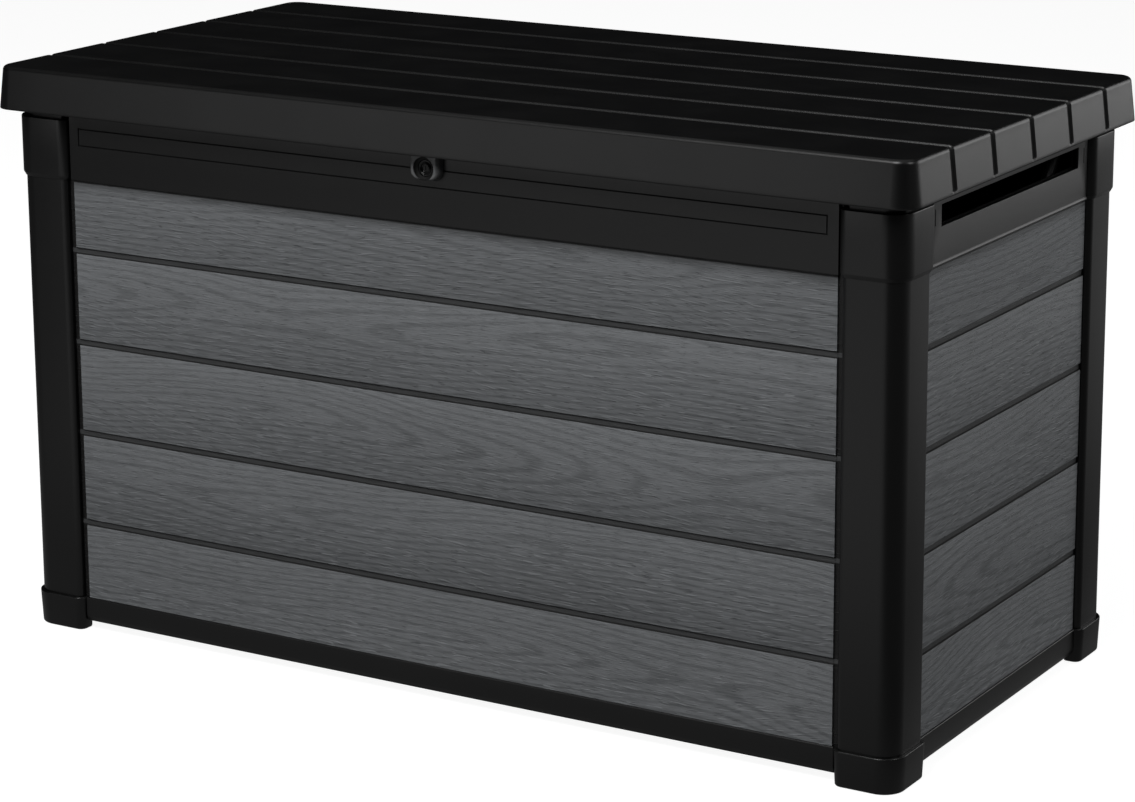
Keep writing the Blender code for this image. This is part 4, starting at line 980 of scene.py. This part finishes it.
def make_lid_shell(resin):
    """The slatted lid: a flared wall with a rolled hem, gaps down its ends, a top that dips between slats."""
    rim, columns, steps, ends = lid_rim()
    wall_top = LID_TOP - LID_EDGE_RADIUS
    shape = bmesh.new()

    def ring(pull, height, sunk, upright):
        lean = LID_FLARE * min(1.0, (height - LID_BOTTOM) / (wall_top - LID_BOTTOM))
        points = []
        for base, outward, slatted in rim:
            depth = slat_gap_depth(base.y) * sunk if slatted else 0.0
            place = base + outward * (LID_CORNER_RADIUS + pull - lean - depth * upright)
            rise = -depth * math.sqrt(max(0.0, 1 - upright * upright))
            points.append(shape.verts.new((place.x, place.y, height + rise)))
        return points

    loops = [ring(*level) for level in lid_outer_levels(wall_top)]
    skin(shape, loops)

    # The top: lines along X between the two ends, at the heights the ends' gaps give.
    top = loops[-1]
    corner_and_end = columns + 2 * (steps - 1) + ends + 1
    right_side = top[columns : corner_and_end + 1]
    left_start = corner_and_end + columns
    left_side = [top[index % len(rim)] for index in range(left_start, left_start + len(right_side))]
    left_side.reverse()
    rows = [top[: columns + 1]]
    for left_point, right_point in list(zip(left_side, right_side))[1:-1]:
        row = [left_point]
        for step in range(1, columns):
            row.append(shape.verts.new(left_point.co.lerp(right_point.co, step / columns)))
        row.append(right_point)
        rows.append(row)
    rows.append(list(reversed(top[corner_and_end : corner_and_end + columns + 1])))
    for low, high in zip(rows, rows[1:]):
        for index in range(columns):
            shape.faces.new((low[index], low[index + 1], high[index + 1], high[index]))

    # The underside: the hem turns in to a thin wall and a flat ceiling.
    inner = [
        (-LID_WALL + LID_HEM_ROUND, LID_BOTTOM, 0.0, 1.0),
        (-LID_WALL, LID_BOTTOM + LID_HEM_ROUND, 0.0, 1.0),
        (-LID_WALL, wall_top - 0.002, 0.0, 1.0),
        (-LID_WALL - 0.003, LID_TOP - LID_SKIN, 0.0, 1.0),
    ]
    inner_loops = [loops[0]] + [ring(*level) for level in inner]
    skin(shape, inner_loops)
    shape.faces.new(inner_loops[-1])
    return mesh_piece("lid_top", shape, resin["lid"], sharp=50)


def make_lid(resin):
    """The lid's shell and the two pads inside its back wall that the hinges screw to."""
    fit(make_lid_shell(resin), "lid", "lid_shell")
    reach = HINGE_HALF_WIDTH + HINGE_PAD_MARGIN
    for label, x in (("left", -HINGE_PLACE), ("right", HINGE_PLACE)):
        low = (x - reach, HINGE_PAD_FACE_Y, LID_BOTTOM + 0.0015)
        high = (x + reach, LID_HALF_DEPTH - LID_WALL - 0.0002, HINGE_PAD_TOP)
        pad = block(f"hinge_pad_{label}", low, high, resin["lid"], HINGE_PAD_EDGE)
        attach(pad, "lid")


def rectangle(half_x, half_y, radius, middle=(0.0, 0.0)):
    """A round-cornered rectangle's outline about its middle."""
    corners = [(-half_x, -half_y), (half_x, -half_y), (half_x, half_y), (-half_x, half_y)]
    return filleted([(x + middle[0], y + middle[1], radius, 10) for x, y in corners])


def make_liner(resin):
    """The tray under the lid's top: a rim that meets the rails, and a plate with shallow moulded fields."""
    edge = LINER_EDGE
    levels = []
    for shrink, height in (
        (LINER_RIM + 0.0015, LINER_PLATE_BOTTOM),
        (LINER_RIM + 0.0004, LINER_PLATE_BOTTOM - 0.0004),
        (LINER_RIM, LINER_PLATE_BOTTOM - 0.0015),
        (LINER_RIM, LINER_BASE + edge),
        (LINER_RIM - edge, LINER_BASE),
        (edge, LINER_BASE),
        (0.0, LINER_BASE + edge),
        (0.0, LINER_PLATE_TOP - edge),
        (edge, LINER_PLATE_TOP),
    ):
        half_x, half_y = LINER_HALF_LENGTH - shrink, LINER_HALF_DEPTH - shrink
        levels.append((rectangle(half_x, half_y, LINER_CORNER_RADIUS - shrink), height))
    liner = stacked("lid_lining", levels, resin["inside"])

    pitch_x = 2 * (LINER_HALF_LENGTH - LINER_MARGIN[0]) / LINER_COLUMNS
    pitch_y = 2 * (LINER_HALF_DEPTH - LINER_MARGIN[1]) / LINER_ROWS
    half_x, half_y = (pitch_x - LINER_BAND) / 2, (pitch_y - LINER_BAND) / 2
    for column in range(LINER_COLUMNS):
        for row in range(LINER_ROWS):
            middle = (pitch_x * (column - (LINER_COLUMNS - 1) / 2), pitch_y * (row - (LINER_ROWS - 1) / 2))
            levels = []
            for grow, rise in FIELD_WALL:
                outline = rectangle(half_x + grow, half_y + grow, FIELD_RADIUS + grow, middle)
                levels.append((outline, LINER_PLATE_BOTTOM + rise))
            shaped(liner, stacked("tool", levels, resin["inside"]), sharp=12)
    fit(liner, "lid", "lid_liner")


# Lock and screws


def housing_outline(shrink):
    """The lock housing's face, with well-rounded lower corners."""
    half = LOCK_HALF_WIDTH - shrink
    round_bottom = LOCK_CORNER_RADIUS - shrink
    return filleted(
        [
            (-half, LOCK_BOTTOM + shrink, round_bottom, 12),
            (half, LOCK_BOTTOM + shrink, round_bottom, 12),
            (half, LOCK_TOP - shrink, 0.0024, 5),
            (-half, LOCK_TOP - shrink, 0.0024, 5),
        ]
    )


def make_lock(finishes):
    """The housing with its dished eye, and the barrel with rings and a key slot."""
    face = FRONT_RAIL_Y - LOCK_PROUD
    rings = []
    for pull, rise in reversed(round_over(LOCK_EDGE, 12)):
        y = face + (LOCK_PROUD - FIT_GAP) * (1 - rise / LOCK_EDGE)
        rings.append([Vector((point.x, y, point.y)) for point in housing_outline(pull)])
    housing = solid("lock_housing", rings, finishes["tab"])
    axis = Vector((0.0, FRONT_RAIL_Y, LOCK_Z))
    bore = BARREL_RADIUS + FIT_GAP
    dish = [(-LOCK_PROUD - 0.003, DISH_RADIUS + 0.0032), (-LOCK_PROUD - 0.0001, DISH_RADIUS + 0.0004)]
    for step in range(9):
        turn = math.radians(90 * step / 8)
        radius = bore + (DISH_RADIUS - bore) * math.cos(turn) ** 1.4
        dish.append((-LOCK_PROUD + DISH_DEPTH * math.sin(turn), radius))
    dish.append((0.002, bore))
    shaped(housing, turned("tool", dish, axis, (0, 1, 0), finishes["tab"], LOCK_ROUND_STEPS))
    fit(housing, "box", "lock_tab")

    front = -LOCK_PROUD + DISH_DEPTH + 0.0005
    valley = front + 0.0006
    stations = [(valley, 0.0002), (valley, 0.0046)]
    for middle, crest in BARREL_RINGS:
        for step in range(7):
            turn = math.radians(180 * step / 6)
            stations.append((valley - crest * math.sin(turn), middle - BARREL_RING_HALF * math.cos(turn)))
    stations += [(front + 0.0004, BARREL_RADIUS - 0.0002), (front + 0.0009, BARREL_RADIUS)]
    stations += [(-0.0006, BARREL_RADIUS), (-0.0006, SHANK_RADIUS), (SHANK_END, SHANK_RADIUS)]
    barrel = turned("key_barrel", stations, axis, (0, 1, 0), finishes["barrel"], LOCK_ROUND_STEPS)
    key_low = (-KEY_SLOT_HALF_WIDTH, axis.y + front - 0.002, LOCK_Z - KEY_SLOT_HALF_HEIGHT)
    key_high = (KEY_SLOT_HALF_WIDTH, axis.y + front + KEY_SLOT_DEPTH, LOCK_Z + KEY_SLOT_HALF_HEIGHT)
    shaped(barrel, block("tool", key_low, key_high, finishes["barrel"]))
    fit(barrel, "lock_turn", "lock_barrel")


def make_screw(leaf, number, body, facing, steel):
    """A pan-head screw with a cross recess, in place of a plain screw of a hinge leaf and facing along Y."""
    node_name = f"hinge_{leaf}_screw_{number}"
    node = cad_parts[node_name]
    corners = [node.matrix_world @ Vector(corner) for corner in node.bound_box]
    low = Vector([min(corner[i] for corner in corners) for i in range(3)])
    high = Vector([max(corner[i] for corner in corners) for i in range(3)])
    start = Vector(((low.x + high.x) / 2, high.y if facing < 0 else low.y, (low.z + high.z) / 2))
    head = SCREW_HEAD_HEIGHT
    stations = [(0.0, 0.0003)]
    for step in range(1, 7):
        turn = math.radians(90 * step / 6)
        stations.append((head * 0.8 * (1 - math.cos(turn)), SCREW_HEAD_RADIUS * math.sin(turn)))
    stations += [(head, SCREW_HEAD_RADIUS), (head, SCREW_RADIUS), (high.y - low.y, SCREW_RADIUS)]
    screw = turned(f"pan_screw_{leaf}_{number}", stations, start, (0, facing, 0), steel, 32)
    for wide, tall in (CROSS_ARM, reversed(CROSS_ARM)):
        reach = Vector((wide, CROSS_DEPTH, tall))
        shaped(screw, block("tool", start - reach, start + reach, steel))
    fit(screw, body, node_name)


def make_screws(steel):
    """The two screws of each hinge's body leaf and the two of its lid leaf."""
    for label in ("left", "right"):
        for leaf, body, facing in (("body", "box", -1), ("lid", "lid", 1)):
            for number in (1, 2):
                make_screw(f"{label}_{leaf}", number, body, facing, steel)


def soften_edges():
    """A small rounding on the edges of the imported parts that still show."""
    for name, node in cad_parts.items():
        if node.hide_render:
            continue
        change = node.modifiers.new("softened", "BEVEL")
        change.width = 0.0006 if "floor" in name else 0.0003
        change.segments = 2
        change.limit_method = "ANGLE"
        change.angle_limit = math.radians(50)
        change.harden_normals = False


# Stage


def make_stage():
    """The floor, a sky that is white to the camera and near black to the box, and five soft lights."""
    shape = bmesh.new()
    bmesh.ops.create_grid(shape, x_segments=2, y_segments=2, size=40.0)
    floor = mesh_piece("studio_floor", shape, pale_floor("pale_floor"))
    floor.location.z = -FIT_GAP

    sky = Finish(bpy.data.worlds.new("studio"), "Background")
    seen = sky.node("ShaderNodeLightPath", output="Is Camera Ray")
    bpy.context.scene.world = sky.set(Color=sky.blend(seen, SKY_DIM, WHITE), Strength=1.0)
    bpy.context.scene.view_settings.view_transform = "Standard"

    soft_box("overhead", (0.0, 0.0, 5.5), (0.0, 0.0, 0.0), (7.0, 7.0), 50)
    soft_box("right_rear", (2.7, 3.2, 1.35), (0.7, 0.0, 0.7), (2.6, 1.8), 30)
    soft_box("front_high", (-0.1, -4.0, 5.0), (0.0, 0.0, 0.5), (2.6, 2.6), 225)
    soft_box("right_high", (5.0, -0.6, 3.6), (0.7, 0.0, 0.3), (2.0, 2.0), 60)
    soft_box("front_low", (-2.2, -4.5, 1.1), (0.0, -0.3, 0.5), (2.6, 1.6), 14)


def soft_box(name, place, target, size, power):
    """A rectangular light of a size in metres and a power in watts, turned to a target."""
    light = bpy.data.lights.new(name, "AREA")
    light.shape = "RECTANGLE"
    light.size = size[0]
    light.size_y = size[1]
    light.energy = power
    lamp = bpy.data.objects.new(name, light)
    lamp.location = place
    lamp.rotation_euler = (Vector(target) - Vector(place)).to_track_quat("-Z", "Y").to_euler()
    bpy.context.scene.collection.objects.link(lamp)


def make_camera():
    """The camera, in front of the box and to its right, looking a little down."""
    azimuth = math.radians(CAMERA_AZIMUTH)
    elevation = math.radians(CAMERA_ELEVATION)
    roll = math.radians(CAMERA_ROLL)
    lens = bpy.data.cameras.new("camera")
    lens.sensor_width = SENSOR_WIDTH
    lens.lens = LENS_LENGTH
    lens.shift_x, lens.shift_y = LENS_SHIFT
    lens.clip_end = 200.0
    camera = bpy.data.objects.new("camera", lens)
    level = math.cos(elevation)
    forward = Vector((-math.sin(azimuth) * level, math.cos(azimuth) * level, -math.sin(elevation)))
    right = forward.cross(Vector((0, 0, 1))).normalized()
    up = right.cross(forward)
    turned_right = right * math.cos(roll) + up * math.sin(roll)
    turned_up = up * math.cos(roll) - right * math.sin(roll)
    axes = Matrix((turned_right, turned_up, -forward)).transposed().to_4x4()
    camera.matrix_world = Matrix.Translation(CAMERA_PLACE) @ axes
    bpy.context.scene.collection.objects.link(camera)
    bpy.context.scene.camera = camera


def repaint(finishes):
    """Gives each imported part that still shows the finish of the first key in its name."""
    for name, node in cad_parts.items():
        for key, finish in finishes:
            if key in name:
                node.data.materials.clear()
                node.data.materials.append(finish)
                break


def main():
    resin = {
        "column": moulded_resin("column_resin", 0.0026, 0.30),
        "collar": moulded_resin("collar_resin", 0.0026, 0.30),
        "foot": moulded_resin("foot_resin", 0.0024, 0.32),
        "rail": moulded_resin("rail_resin", 0.0028, 0.32),
        "front_rail": moulded_resin("front_rail_resin", 0.0028, 0.32, 1.0, 0.02, engraving_shade_mask),
        "lid": moulded_resin("lid_resin", 0.0026, 0.34, 1.2, 0.004, slat_gap_shade_mask),
        "inside": moulded_resin("inside_resin", 0.0060, 0.50, 1.0, 0.03),
    }
    boards = {
        "front": wood_board_resin("long_boards", "X", 1.3),
        "right": wood_board_resin("end_boards", "Y", 5.9),
    }
    boards["back"] = boards["front"]
    boards["left"] = boards["right"]
    steel = plated_steel("zinc_plated_steel")
    polished = polished_resin("polished_resin")
    blackened = moulded_resin("blackened_steel", 0.004, 0.5, 0.4, 0.0)
    finishes = {"tab": moulded_resin("lock_tab_resin", 0.17, 0.26, 0.5, 0.0, dish_shade_mask), "barrel": polished}
    make_boards(boards)
    make_corners(resin)
    make_rails(resin)
    make_lid(resin)
    make_liner(resin)
    make_lock(finishes)
    make_screws(steel)
    repaint(
        [
            ("hinge_", steel),
            ("bracket", steel),
            ("rod", blackened),
            ("cam", steel),
            ("nut", steel),
            ("keeper", steel),
            ("tube", polished),
            ("", resin["inside"]),
        ]
    )
    soften_edges()
    make_stage()
    make_camera()


main()
